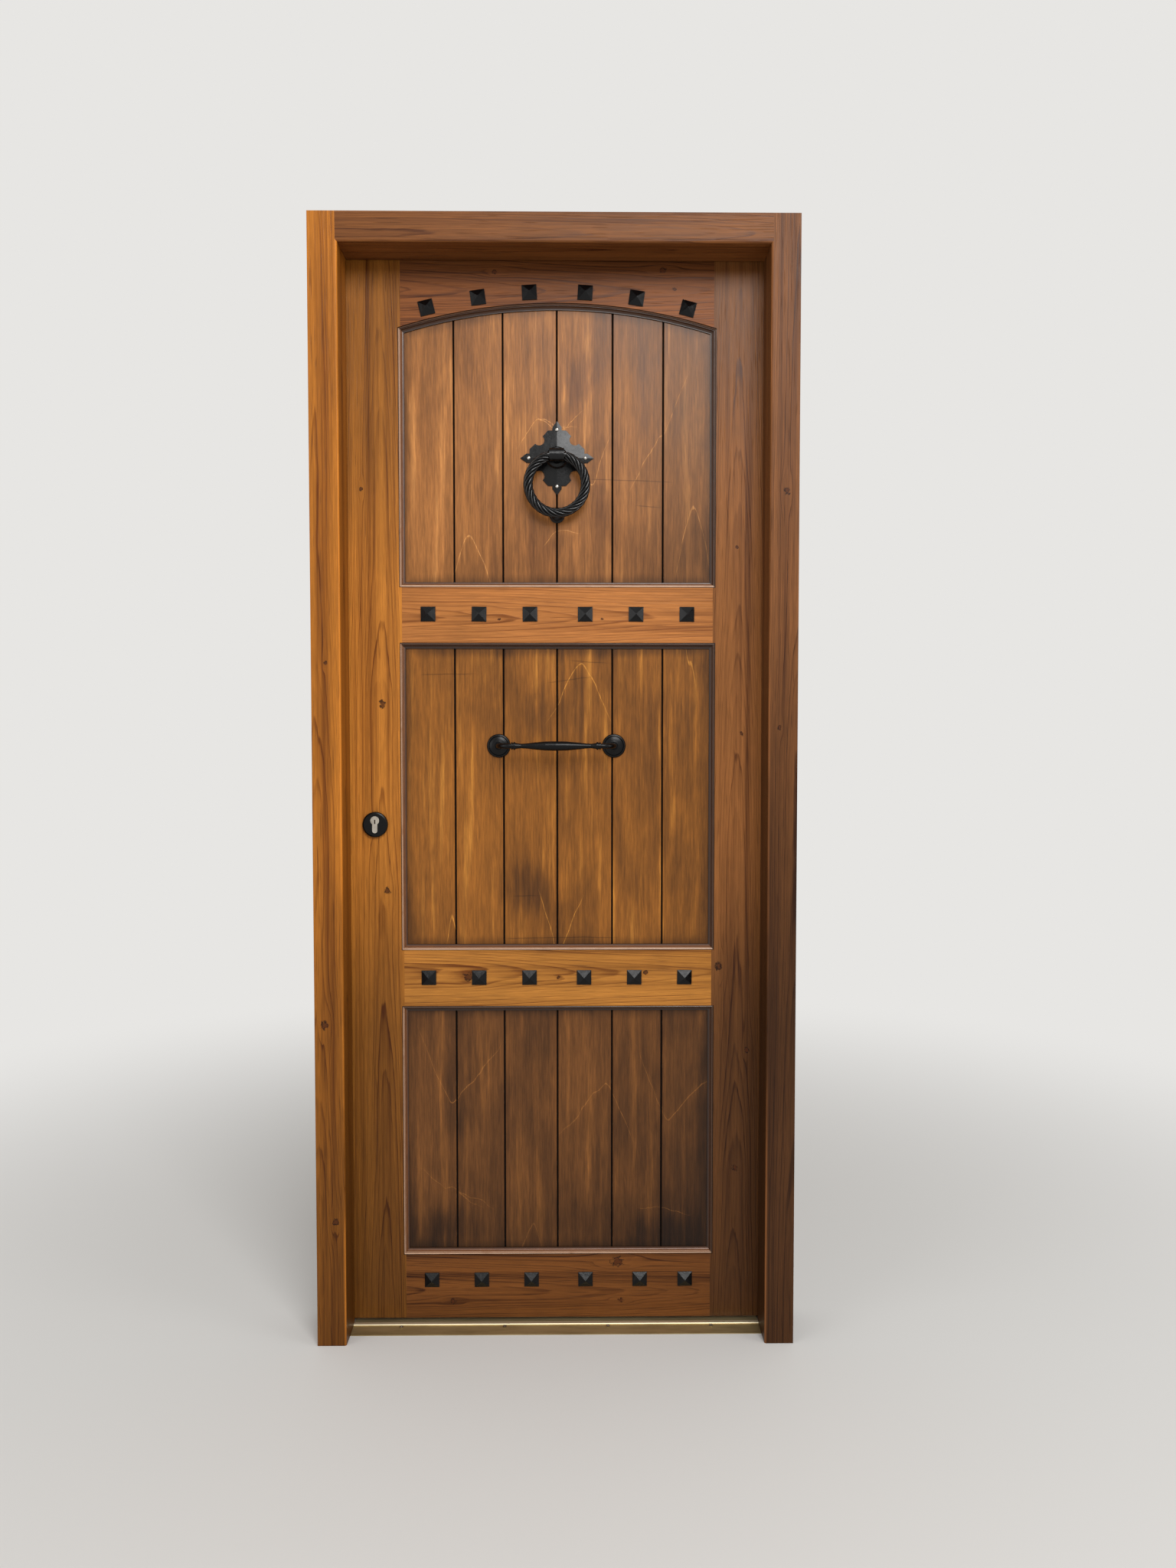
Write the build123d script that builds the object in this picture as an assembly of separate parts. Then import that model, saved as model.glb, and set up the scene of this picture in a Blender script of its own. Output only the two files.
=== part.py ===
from build123d import *
import os
from math import asin, cos, degrees, hypot, pi, radians, sin, sqrt

# A panelled timber entrance door hung in its frame, at full size in millimetres.
# X runs to the right as seen from outside, Y inwards and Z up. The origin is on the floor,
# midway between the jambs, in the plane of the leaf's outer face. The leaf stands closed.

# Doorway and frame
SIGHT_WIDTH = 800.0  # clear width between the jambs
SIGHT_HEIGHT = 2062.0  # leaf's foot to the head's underside
FOOT_RISE = 10.0  # leaf's foot above the floor
FRAME_FACE = 55.0  # width of a jamb's front
REVEAL_DEPTH = 86.0  # frame in front of the leaf's outer face
REBATE = 15.0  # step behind which the leaf sits
LEAF_GAP = 3.0  # leaf to rebate, sides and top
STOP_GAP = 3.0  # leaf to the step, closed by the seal
FRAME_ARRIS = 4.0  # rounding of the edge beside the opening
HEAD_TENON = 24.0
HEAD_TENON_THICK = 16.0
HEAD_TENON_INSET = 9.0
FIXING_RADIUS = 5.0
FIXING_OUTER_SPAN = 1520.0
FIXING_INNER_SPAN = 600.0
FIXING_RAISE = 159.0  # fixings' middle above the opening's middle
FIXING_DEPTH = 8.0  # fixing holes' line behind the leaf's outer face

# Weather seal
SEAL_WIDTH = 4.0
SEAL_ROOT = 5.0
SEAL_INSET = 4.0
SEAL_LIP = 8.0
SEAL_LIP_THICKNESS = 1.1
SEAL_BULB = 4.8
SEAL_CLEARANCE = 0.3

# Threshold
SILL_FRONT = 50.0
SILL_THICKNESS = 3.4
SILL_TOE = 1.2
SILL_NOSING_WIDTH = 11.0
SILL_NOSING_RISE = 2.4
SILL_NOSING_SET = 8.0
SILL_END_GAP = 0.4
SILL_SCREW_ROW = 25.0
SILL_SCREW_PITCH = 203.0

# Leaf
LEAF_THICKNESS = 45.0
LOCK_STILE_SHOWN = 102.3  # measured from the lock jamb
HINGE_STILE_SHOWN = 95.3
BOTTOM_RAIL = 131.5
BOTTOM_PANEL = 487.7
LOWER_RAIL = 120.1
MIDDLE_PANEL = 590.7
UPPER_RAIL = 116.8
TOP_RAIL = 94.9  # at the crown of the arch
ARCH_RISE = 45.8
TENON_LENGTH = 62.0
TENON_THICKNESS = 15.0
TENON_SHOULDER = 22.0
TENON_FIT = 0.1

# Panels
PANEL_RECESS = 11.5
TONGUE = 8.0
TONGUE_PLAY = 1.0
BOARD_WIDTHS = (100.6, 94.8, 104.5, 107.7, 98.0)  # the last board takes what is left
BOARD_GROOVE_WIDTH = 4.4
BOARD_GROOVE_DEPTH = 4.0

# Planted mouldings
BEAD_OVER = 5.0  # part that lies in the stile's rebate
BEAD_INSIDE = 5.6  # part that lies over the panel
BEAD_SEAT = 8.0
BEAD_QUIRK = 0.9
BEAD_QUIRK_DEPTH = 2.6
BEAD_CREST = 0.6
BEAD_ROLL = 2.8
BEAD_STEP = 1.0
BEAD_FLATS = 4  # short flats along each curve of the section

# Square pyramid studs
STUD_SIZE = 28.5
STUD_RIM = 1.5
STUD_PEAK = 9.5
STUD_TIP = 0.8
STUD_SHANK = 4.5
STUD_LENGTH = 26.0
STUD_FIT = 0.1
STUD_PITCH = 98.6
STUD_MIDDLE_PITCH = 107.0
STUD_ROW_LIFT = (10.8, 1.3, 1.8)  # of the rows on the bottom, lower and upper rails
STUD_ROW_SHIFT = (0.4, -2.4, 0.0)
STUD_ARCH_LIFT = 25.5  # top row above the arch's edge
STUD_STRAY = 9.0  # one stud of the lowest row was driven off its mark

# Pull handle
PULL_CENTRES = 225.0
PULL_RISE = 395.9  # grip above the lower rail
PULL_SHIFT = 0.6
PULL_STANDOFF = 48.0
PULL_BEND = 24.0
PULL_NECK_RADIUS = 5.0
PULL_BELLY_RADIUS = 9.2
PULL_WAIST_RADIUS = 4.4
PULL_COLLAR_RADIUS = 7.7
PULL_WAIST_AT = 67.0
PULL_FLARE_AT = 78.0
PULL_COLLAR_WIDTH = 3.2
ROSE_RADIUS = 23.0
ROSE_THICKNESS = 8.0
ROSE_RIM = 2.6
PULL_BOLT_RADIUS = 3.0
PULL_BOLT_THREAD = 16.0
PULL_BOLT_HEAD = 8.5
PULL_BOLT_FIT = 0.2

# Ring knocker
PLATE_REACH = 71.0
PLATE_TIP_WIDTH = 8.8
PLATE_SHOULDER = 53.0
PLATE_LOBE = 17.5
PLATE_CORNER = 27.5
PLATE_CORNER_RISE = 42.0
PLATE_SCALLOP = 27.2
PLATE_EDGE = 1.5
PLATE_PEAK = 7.0
PLATE_RISE = 244.9  # plate's middle above the upper rail
PLATE_SHIFT = 2.5
BOSS_RADIUS = 21.5
BOSS_RISE = 4.5
BARREL_RADIUS = 13.0
BARREL_LENGTH = 28.0
BARREL_STANDOFF = 28.0  # barrel's axis in front of the panel
SADDLE_WIDTH = 24.0
SADDLE_HEIGHT = 17.0
RING_RADIUS = 55.0
RING_CREST = 9.4
RING_VALLEY = 7.6
RING_STRANDS = 8
RING_LEAD = 98.0
RING_SECTIONS = 72
RING_END_GAP = 0.5
JOURNAL_RADIUS = 6.0
JOURNAL_FIT = 0.06
JOURNAL_RUN_IN = 1.0  # of the journal into the twisted bar's ends
ANVIL_RADIUS = 15.0
ANVIL_DOME = 5.0
ANVIL_CLEARANCE = 0.3
ANVIL_SHANK_RADIUS = 3.0
ANVIL_SHANK_LENGTH = 17.0
NAIL_SPACING = 54.4
NAIL_HEAD_RADIUS = 3.7
NAIL_HEAD_RISE = 2.2
NAIL_SHANK_RADIUS = 1.5
NAIL_LENGTH = 17.0
NAIL_FIT = 0.05

# Mortise lock and profile cylinder
LOCK_HEIGHT = 1000.0  # cylinder's axis above the floor
BACKSET = 60.0
LEVER_RISE = 85.0
CASE_DEPTH = 88.0
CASE_BELOW = 42.0
CASE_ABOVE = 128.0
CASE_THICKNESS = 15.0
CASE_WALL = 1.5
CASE_FIT = 0.3
FOREND_LENGTH = 235.0
FOREND_WIDTH = 22.0
FOREND_THICKNESS = 3.0
LATCH_RISE = 108.0
LATCH_HEIGHT = 18.0
LATCH_LENGTH = 46.0
LATCH_THROW = 12.0
DEADBOLT_RISE = 33.0
DEADBOLT_HEIGHT = 27.0
DEADBOLT_LENGTH = 52.0
DEADBOLT_THROW = 20.0
BOLT_FIT = 0.3
FOLLOWER_RADIUS = 10.0
FOLLOWER_FIT = 0.05
SPINDLE_SIZE = 8.0
SPINDLE_FIT = 0.05
CYLINDER_RADIUS = 8.5
CYLINDER_TONGUE = 10.0
CYLINDER_HEIGHT = 33.0
CYLINDER_PROUD = 1.0
CYLINDER_FIT = 0.3
PLUG_RADIUS = 6.5
PLUG_FIT = 0.05
KEYWAY_WIDTH = 2.4
KEYWAY_HEIGHT = 8.4
KEYWAY_DEPTH = 18.0
TURN_NECK_RADIUS = 5.5
TURN_NECK = 4.0
TURN_LENGTH = 38.0
TURN_WIDTH = 13.0
TURN_DEPTH = 20.0
TURN_EDGE = 2.5
CAM_WIDTH = 9.0
CAM_REACH = 14.0
CAM_NOSE = 7.0
CAM_PLAY = 0.3
CAM_TIP_PLAY = 0.6
CYLINDER_SCREW_RADIUS = 2.5
CYLINDER_SCREW_DROP = 19.8
ESCUTCHEON_RADIUS = 24.7
ESCUTCHEON_THICKNESS = 8.0
ESCUTCHEON_FIT = 0.2
ESCUTCHEON_EDGE = 3.0
ESCUTCHEON_DROP = 8.0  # cover's middle below the cylinder's axis

# Inside lever
LEVER_STANDOFF = 48.0
LEVER_LENGTH = 120.0
LEVER_HEEL = 10.5
LEVER_NECK_RADIUS = 8.0
LEVER_NECK_FIT = 0.08
LEVER_ROOT_HEIGHT = 20.0
LEVER_TIP_HEIGHT = 13.0
LEVER_DEPTH = 11.0
LEVER_TURN = 30.0  # degrees from held down to level

# Strike plate
STRIKE_LENGTH = 190.0
STRIKE_WIDTH = 24.0
STRIKE_THICKNESS = 2.5
STRIKE_PLAY = 1.2
STRIKE_POCKET_PLAY = 3.0

# Butt hinges
HINGE_HEIGHT = 100.0
HINGE_PLATE_WIDTH = 28.0
HINGE_PLATE_THICKNESS = 2.5
HINGE_KNUCKLE_RADIUS = 6.5
HINGE_KNUCKLES = 5
HINGE_KNUCKLE_GAP = 0.3
HINGE_PIN_RADIUS = 3.5
HINGE_PIN_FIT = 0.05
HINGE_PIN_CAP = 4.0
HINGE_FACE_GAP = 0.3
HINGE_TOP_INSET = 190.0
HINGE_BOTTOM_INSET = 230.0

# Wood screws
SCREW_HEAD_RADIUS = 4.0
SCREW_RADIUS = 2.0
SCREW_LENGTH = 30.0
SCREW_FIT = 0.05

# Places worked out from the sizes above
SIGHT_HALF = SIGHT_WIDTH / 2
SIGHT_TOP = FOOT_RISE + SIGHT_HEIGHT
FRAME_TOP = SIGHT_TOP + FRAME_FACE
FIXING_MIDDLE = FOOT_RISE + SIGHT_HEIGHT / 2 + FIXING_RAISE
LEAF_HALF = SIGHT_HALF + REBATE - LEAF_GAP
LEAF_TOP = SIGHT_TOP + REBATE - LEAF_GAP
LEAF_MIDDLE = LEAF_THICKNESS / 2
OPEN_LEFT = LOCK_STILE_SHOWN - SIGHT_HALF
OPEN_RIGHT = SIGHT_HALF - HINGE_STILE_SHOWN
OPEN_MIDDLE = (OPEN_LEFT + OPEN_RIGHT) / 2
OPEN_HALF = (OPEN_RIGHT - OPEN_LEFT) / 2
BOTTOM_RAIL_TOP = FOOT_RISE + BOTTOM_RAIL
LOWER_RAIL_FOOT = BOTTOM_RAIL_TOP + BOTTOM_PANEL
LOWER_RAIL_TOP = LOWER_RAIL_FOOT + LOWER_RAIL
UPPER_RAIL_FOOT = LOWER_RAIL_TOP + MIDDLE_PANEL
UPPER_RAIL_TOP = UPPER_RAIL_FOOT + UPPER_RAIL
ARCH_CROWN = LEAF_TOP - TOP_RAIL
ARCH_RADIUS = (OPEN_HALF**2 + ARCH_RISE**2) / (2 * ARCH_RISE)
ARCH_CENTRE = ARCH_CROWN - ARCH_RADIUS
ARCH_SPRING = ARCH_CROWN - ARCH_RISE
PANEL_FACE = PANEL_RECESS
PANEL_BACK = LEAF_THICKNESS - PANEL_RECESS
HINGE_X = SIGHT_HALF + REBATE - LEAF_GAP / 2
HINGE_Y = LEAF_THICKNESS + HINGE_KNUCKLE_RADIUS + HINGE_FACE_GAP
LOCK_X = BACKSET - LEAF_HALF
LEVER_HEIGHT = LOCK_HEIGHT + LEVER_RISE
LATCH_HEIGHT_AT = LOCK_HEIGHT + LATCH_RISE
DEADBOLT_HEIGHT_AT = LOCK_HEIGHT + DEADBOLT_RISE
BOLT_THICKNESS = CASE_THICKNESS - 2 * CASE_WALL - 2 * BOLT_FIT
PULL_Y = PANEL_FACE - PULL_STANDOFF
PULL_HEIGHT = LOWER_RAIL_TOP + PULL_RISE
PLATE_HEIGHT = UPPER_RAIL_TOP + PLATE_RISE
BARREL_Y = PANEL_FACE - BARREL_STANDOFF
RING_CENTRE = PLATE_HEIGHT - RING_RADIUS

# Panel openings: foot, crown and whether the head is arched
OPENINGS = {
    "bottom": (BOTTOM_RAIL_TOP, LOWER_RAIL_FOOT, False),
    "middle": (LOWER_RAIL_TOP, UPPER_RAIL_FOOT, False),
    "top": (UPPER_RAIL_TOP, ARCH_CROWN, True),
}

# Rails: foot and head of the part between the stiles
RAILS = {
    "bottom": (FOOT_RISE, BOTTOM_RAIL_TOP),
    "lower": (LOWER_RAIL_FOOT, LOWER_RAIL_TOP),
    "upper": (UPPER_RAIL_FOOT, UPPER_RAIL_TOP),
    "top": (ARCH_SPRING, LEAF_TOP),
}

HINGE_HEIGHTS = {
    "lower": FOOT_RISE + HINGE_BOTTOM_INSET,
    "middle": (FOOT_RISE + HINGE_BOTTOM_INSET + LEAF_TOP - HINGE_TOP_INSET) / 2,
    "upper": LEAF_TOP - HINGE_TOP_INSET,
}


# General helpers
def block(low, high):
    """A box between two corners."""
    size = [b - a for a, b in zip(low, high)]
    middle = [(a + b) / 2 for a, b in zip(low, high)]
    return Pos(*middle) * Box(*size)


def slab(face, y_front, y_back):
    """A face drawn in X and Z, made solid between two depths."""
    return extrude(Plane.XZ.offset(-y_back) * face, amount=y_back - y_front)


def rod_y(x, z, radius, y_front, y_back):
    """A round bar along Y."""
    return slab(Pos(x, z) * Circle(radius), y_front, y_back)


def rod_x(y, z, radius, x_left, x_right):
    """A round bar along X."""
    face = Plane(origin=(x_left, y, z), x_dir=(0, 1, 0), z_dir=(1, 0, 0)) * Circle(radius)
    return extrude(face, amount=x_right - x_left)


def rod_z(x, y, radius, z_low, z_high):
    """A round bar along Z."""
    return Pos(x, y, z_low) * extrude(Circle(radius), amount=z_high - z_low)


def turned_y(x, z, y_seat, outline):
    """A turning about an axis along Y; outline points are radius and height towards -Y."""
    plane = Plane(origin=(x, y_seat, z), x_dir=(1, 0, 0), z_dir=(0, 0, 1))
    profile = make_face(Polyline(*[(radius, -height) for radius, height in outline], close=True))
    return revolve(plane * profile, axis=Axis((x, y_seat, z), (0, 1, 0)))


def to_inside(solid):
    """The same piece on the leaf's inner face."""
    return mirror(solid, about=Plane.XZ.offset(-LEAF_MIDDLE))


def wood_screw(head, direction, length=SCREW_LENGTH, grow=0.0):
    """A countersunk screw with its head's face at a point."""
    cone = SCREW_HEAD_RADIUS - SCREW_RADIUS
    point = SCREW_RADIUS * 1.5
    reach = length + (SCREW_FIT if grow else 0.0)
    outline = [
        (0, 0),
        (SCREW_HEAD_RADIUS + grow, 0),
        (SCREW_RADIUS + grow, cone),
        (SCREW_RADIUS + grow, reach - point),
        (0, reach),
    ]
    profile = make_face(Polyline(*outline, close=True))
    side = (0, 0, 1) if abs(direction[2]) < 0.5 else (1, 0, 0)
    normal = Vector(*side).cross(Vector(*direction))
    plane = Plane(origin=head, x_dir=side, z_dir=normal)
    return revolve(plane * profile, axis=Axis(head, direction))


# Frame
def frame_section():
    """Section of a jamb or the head: x runs away from the opening and y inwards."""
    points = [
        (0, -REVEAL_DEPTH),
        (FRAME_FACE, -REVEAL_DEPTH),
        (FRAME_FACE, LEAF_THICKNESS),
        (REBATE, LEAF_THICKNESS),
        (REBATE, -STOP_GAP),
        (0, -STOP_GAP),
    ]
    section = make_face(Polyline(*points, close=True))
    edge = section.vertices().sort_by_distance((0, -REVEAL_DEPTH, 0))[0]
    return fillet(edge, FRAME_ARRIS)


def plain_jamb():
    """The hinge-side jamb before any cut."""
    return Pos(SIGHT_HALF, 0, 0) * extrude(frame_section(), amount=FRAME_TOP)


def head_tenons(grow=0.0):
    """The tenons by which the head enters both jambs."""
    reach = SIGHT_HALF + REBATE + HEAD_TENON + grow
    y_middle = LEAF_MIDDLE
    half = HEAD_TENON_THICK / 2 + grow
    low = SIGHT_TOP + REBATE + HEAD_TENON_INSET - grow
    high = FRAME_TOP - HEAD_TENON_INSET + grow
    return block((-reach, y_middle - half, low), (reach, y_middle + half, high))


def frame_head():
    """The straight head, shouldered to the jambs' section."""
    reach = SIGHT_HALF + REBATE
    plane = Plane(origin=(reach, 0, SIGHT_TOP), x_dir=(0, 0, 1), z_dir=(-1, 0, 0))
    bar = extrude(plane * frame_section(), amount=2 * reach)
    right = plain_jamb()
    bar = bar - right - mirror(right, about=Plane.YZ)
    return bar - seal_root() + head_tenons()


def fixing_heights():
    """Heights of the wall fixings in a jamb."""
    spans = (-FIXING_OUTER_SPAN, -FIXING_INNER_SPAN, FIXING_INNER_SPAN, FIXING_OUTER_SPAN)
    return [FIXING_MIDDLE + span / 2 for span in spans]


def drilled_jamb():
    """A jamb with its fixing holes and the head's mortise."""
    jamb = plain_jamb() - head_tenons(TENON_FIT) - seal_root()
    outside = SIGHT_HALF + FRAME_FACE
    for height in fixing_heights():
        jamb -= rod_x(FIXING_DEPTH, height, FIXING_RADIUS, SIGHT_HALF, outside)
    return jamb


def hinge_jamb():
    """The right-hand jamb, let in for the frame plates."""
    jamb = drilled_jamb()
    for height in HINGE_HEIGHTS.values():
        jamb -= hinge_recess(height, 1)
        for screw in hinge_screws(height, 1, SCREW_FIT):
            jamb -= screw
    return jamb


def lock_jamb():
    """The left-hand jamb, let in for the strike plate and pocketed for the bolts."""
    jamb = mirror(drilled_jamb(), about=Plane.YZ)
    jamb -= strike_outline(0.0)
    face = -SIGHT_HALF - REBATE
    for centre, height, throw in keeper_holes():
        half = height / 2 + STRIKE_PLAY
        depth = BOLT_THICKNESS / 2 + STRIKE_PLAY
        reach = LEAF_HALF + throw + STRIKE_POCKET_PLAY
        jamb -= block((-reach, LEAF_MIDDLE - depth, centre - half), (face, LEAF_MIDDLE + depth, centre + half))
    for screw in strike_screws(SCREW_FIT):
        jamb -= screw
    return jamb


def seal_root():
    """The part of the strip that fills the groove round both sides and the head."""
    return frame_band(SEAL_INSET, SEAL_INSET + SEAL_WIDTH, -STOP_GAP - SEAL_ROOT, -STOP_GAP)


def weather_seal():
    """The rubber strip in one length: its root, a flat lip and a narrower raised bulb."""
    middle = SEAL_INSET + SEAL_WIDTH / 2
    lip_half = SEAL_LIP / 2
    bulb_half = SEAL_BULB / 2
    lip_back = -STOP_GAP + SEAL_LIP_THICKNESS
    lip = frame_band(middle - lip_half, middle + lip_half, -STOP_GAP, lip_back)
    bulb = frame_band(middle - bulb_half, middle + bulb_half, lip_back, -SEAL_CLEARANCE)
    return seal_root() + lip + bulb


def frame_band(near, far, y_front, y_back):
    """A three-sided band round the opening, between two distances from its edge."""
    outer = block((-SIGHT_HALF - far, y_front, 0), (SIGHT_HALF + far, y_back, SIGHT_TOP + far))
    inner = block((-SIGHT_HALF - near, y_front, 0), (SIGHT_HALF + near, y_back, SIGHT_TOP + near))
    return outer - inner


# Threshold
def sill_screw_places():
    """Places of the four screws along the threshold plate."""
    return [(step * SILL_SCREW_PITCH, -SILL_SCREW_ROW) for step in (-1.5, -0.5, 0.5, 1.5)]


def sill_slope(y):
    """Height of the sloping front of the threshold plate."""
    front = -SILL_FRONT
    back = -SILL_NOSING_SET - SILL_NOSING_WIDTH
    share = (y - front) / (back - front)
    return SILL_TOE + share * (SILL_THICKNESS - SILL_TOE)


def threshold_plate():
    """The metal threshold: a sloping front, a raised nosing and a flat back under the leaf."""
    nosing_back = -SILL_NOSING_SET
    nosing_front = nosing_back - SILL_NOSING_WIDTH
    crest = SILL_THICKNESS + SILL_NOSING_RISE
    soften = SILL_NOSING_RISE * 0.6
    points = [
        (-SILL_FRONT, 0),
        (-SILL_FRONT, SILL_TOE),
        (nosing_front, SILL_THICKNESS),
        (nosing_front, crest - soften),
        (nosing_front + soften, crest),
        (nosing_back - soften, crest),
        (nosing_back, crest - soften),
        (nosing_back, SILL_THICKNESS),
        (LEAF_THICKNESS, SILL_THICKNESS),
        (LEAF_THICKNESS, 0),
    ]
    reach = SIGHT_HALF - SILL_END_GAP
    plane = Plane(origin=(-reach, 0, 0), x_dir=(0, 1, 0), z_dir=(1, 0, 0))
    plate = extrude(plane * make_face(Polyline(*points, close=True)), amount=2 * reach)
    for x, y in sill_screw_places():
        plate -= rod_z(x, y, SCREW_RADIUS + SCREW_FIT, 0, SILL_THICKNESS)
    return plate


def threshold_screws():
    """Low round heads with short shanks through the threshold plate."""
    screws = []
    for x, y in sill_screw_places():
        seat = sill_slope(y + SCREW_HEAD_RADIUS)
        shank = rod_z(x, y, SCREW_RADIUS, 0, seat)
        dome = Sphere(SCREW_HEAD_RADIUS * 1.4) & block((-9, -9, SCREW_HEAD_RADIUS), (9, 9, 9))
        screws.append(shank + Pos(x, y, seat - SCREW_HEAD_RADIUS) * dome)
    return screws


# Panels and their surrounds
def opening_face(name, grow=0.0):
    """Outline of a panel opening in X and Z, grown outwards."""
    foot, crown, arched = OPENINGS[name]
    left = OPEN_LEFT - grow
    right = OPEN_RIGHT + grow
    if not arched:
        corners = [(left, foot - grow), (right, foot - grow), (right, crown + grow), (left, crown + grow)]
        return make_face(Polyline(*corners, close=True))
    spring = arch_height(OPEN_HALF + grow, grow)
    sides = Polyline((left, spring), (left, foot - grow), (right, foot - grow), (right, spring))
    arch = ThreePointArc((right, spring), (OPEN_MIDDLE, crown + grow), (left, spring))
    return make_face([*sides.edges(), *arch.edges()])


def arch_height(offset, grow=0.0):
    """Height of the arch's edge, grown outwards, at a distance from the arch's middle."""
    return ARCH_CENTRE + sqrt((ARCH_RADIUS + grow) ** 2 - offset**2)


def panel_seat(name):
    """What a panel and its mouldings take out of the stiles and rails around them."""
    groove = slab(opening_face(name, TONGUE + TONGUE_PLAY), PANEL_FACE, PANEL_BACK)
    rebate = slab(opening_face(name, BEAD_OVER), 0, BEAD_SEAT)
    return groove + rebate + to_inside(rebate)


def board_lines():
    """Places of the grooves that divide a panel into boards."""
    lines = []
    line = OPEN_LEFT
    for width in BOARD_WIDTHS:
        line += width
        lines.append(line)
    return lines


def panel(name):
    """One sheet, tongued all round, with V grooves like board joints on both faces."""
    sheet = slab(opening_face(name, TONGUE), PANEL_FACE, PANEL_BACK)
    foot, crown, _ = OPENINGS[name]
    half = BOARD_GROOVE_WIDTH / 2
    length = crown - foot + 2 * TONGUE
    for line in board_lines():
        notch = make_face(Polyline((-half, 0), (half, 0), (0, BOARD_GROOVE_DEPTH), close=True))
        front = Pos(line, PANEL_FACE, foot - TONGUE) * extrude(notch, amount=length)
        sheet -= front
        sheet -= to_inside(front)
    if name == "middle":
        for x in pull_places():
            sheet -= rod_y(x, PULL_HEIGHT, PULL_BOLT_RADIUS + PULL_BOLT_FIT, PANEL_FACE, PANEL_BACK)
    if name == "top":
        sheet -= rod_y(PLATE_SHIFT, RING_CENTRE - RING_RADIUS, ANVIL_SHANK_RADIUS + NAIL_FIT, PANEL_FACE, anvil_end())
        for x, z in nail_places():
            sheet -= rod_y(x, z, NAIL_SHANK_RADIUS + NAIL_FIT, PANEL_FACE, nail_end())
    return sheet


def bead_section():
    """Section of the moulding: x runs from the stile towards the panel, y into the leaf."""
    roll_middle = BEAD_QUIRK + BEAD_ROLL / 2
    roll_edge = BEAD_CREST + BEAD_ROLL / 2
    hollow_start = BEAD_QUIRK + BEAD_ROLL + BEAD_STEP
    toe = BEAD_OVER + BEAD_INSIDE
    hollow_width = toe - BEAD_STEP - hollow_start
    hollow_top = roll_edge + BEAD_STEP
    hollow_drop = PANEL_RECESS - BEAD_QUIRK_DEPTH - hollow_top
    points = [(0, BEAD_SEAT), (0, BEAD_QUIRK_DEPTH), (BEAD_QUIRK, BEAD_QUIRK_DEPTH)]
    for turn in arc_steps(180):
        points.append((roll_middle - BEAD_ROLL / 2 * cos(turn), roll_edge - BEAD_ROLL / 2 * sin(turn)))
    points.append((BEAD_QUIRK + BEAD_ROLL, hollow_top))
    for turn in arc_steps(90):
        points.append((hollow_start + hollow_width * (1 - cos(turn)), hollow_top + hollow_drop * sin(turn)))
    foot = hollow_top + hollow_drop
    points += [(toe, foot), (toe, PANEL_RECESS), (BEAD_OVER, PANEL_RECESS), (BEAD_OVER, BEAD_SEAT)]
    return make_face(Polyline(*points, close=True))


def arc_steps(span):
    """Angles in radians along a small arc that is made of short flats."""
    return [radians(span) * step / BEAD_FLATS for step in range(BEAD_FLATS + 1)]


def bead_corners(name, grow):
    """Corners of an opening grown outwards: bottom right, bottom left, top left, top right."""
    foot, crown, arched = OPENINGS[name]
    top = arch_height(OPEN_HALF + grow, grow) if arched else crown + grow
    left = OPEN_LEFT - grow
    right = OPEN_RIGHT + grow
    return [(right, foot - grow), (left, foot - grow), (left, top), (right, top)]


def straight_bead(start, end):
    """A moulding along one side of an opening, longer than its mitres need."""
    length = hypot(end[0] - start[0], end[1] - start[1])
    along = Vector((end[0] - start[0]) / length, 0, (end[1] - start[1]) / length)
    inwards = Vector(0, 1, 0).cross(along)
    plane = Plane(origin=(start[0], 0, start[1]), x_dir=inwards, z_dir=along)
    return extrude(plane * bead_section(), amount=length)


def arched_bead():
    """The moulding under the arched rail, turned about the arch's centre."""
    edge = ARCH_RADIUS + BEAD_OVER
    half_angle = degrees(asin((OPEN_HALF + BEAD_OVER) / edge)) + 0.5
    plane = Plane(origin=(OPEN_MIDDLE, 0, ARCH_CENTRE + edge), x_dir=(0, 0, -1), z_dir=(1, 0, 0))
    axis = Axis((OPEN_MIDDLE, 0, ARCH_CENTRE), (0, 1, 0))
    start = (plane * bead_section()).rotate(axis, -half_angle)
    return revolve(start, axis=axis, revolution_arc=2 * half_angle)


def mitre_wedge(outer, inner, start, end):
    """The room between two mitres, as a prism through the leaf's outer half."""
    corners = []
    for index, reach in ((start, 8.0), (start, -2.0), (end, -2.0), (end, 8.0)):
        dx = outer[index][0] - inner[index][0]
        dz = outer[index][1] - inner[index][1]
        corners.append((outer[index][0] + reach * dx, outer[index][1] + reach * dz))
    return slab(make_face(Polyline(*corners, close=True)), -1, PANEL_FACE + 1)


def bead_frame(name):
    """Four mitred strips round one opening on the outer face."""
    outer = bead_corners(name, BEAD_OVER)
    inner = bead_corners(name, -BEAD_INSIDE)
    arched = OPENINGS[name][2]
    strips = []
    for start, end in ((0, 1), (1, 2), (2, 3), (3, 0)):
        strip = arched_bead() if arched and start == 2 else straight_bead(outer[start], outer[end])
        strips.append(strip & mitre_wedge(outer, inner, start, end))
    return strips


def inner_bead_frame(name):
    """The same strips on the inner face."""
    return [to_inside(strip) for strip in bead_frame(name)]


# Stiles and rails
def rail_tenon(name, grow=0.0):
    """The bar whose ends are a rail's tenons."""
    foot, head = RAILS[name]
    half = TENON_THICKNESS / 2 + grow
    reach = TENON_LENGTH + grow
    low = foot + TENON_SHOULDER - grow
    high = head - TENON_SHOULDER + grow
    return block((OPEN_LEFT - reach, LEAF_MIDDLE - half, low), (OPEN_RIGHT + reach, LEAF_MIDDLE + half, high))


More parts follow.
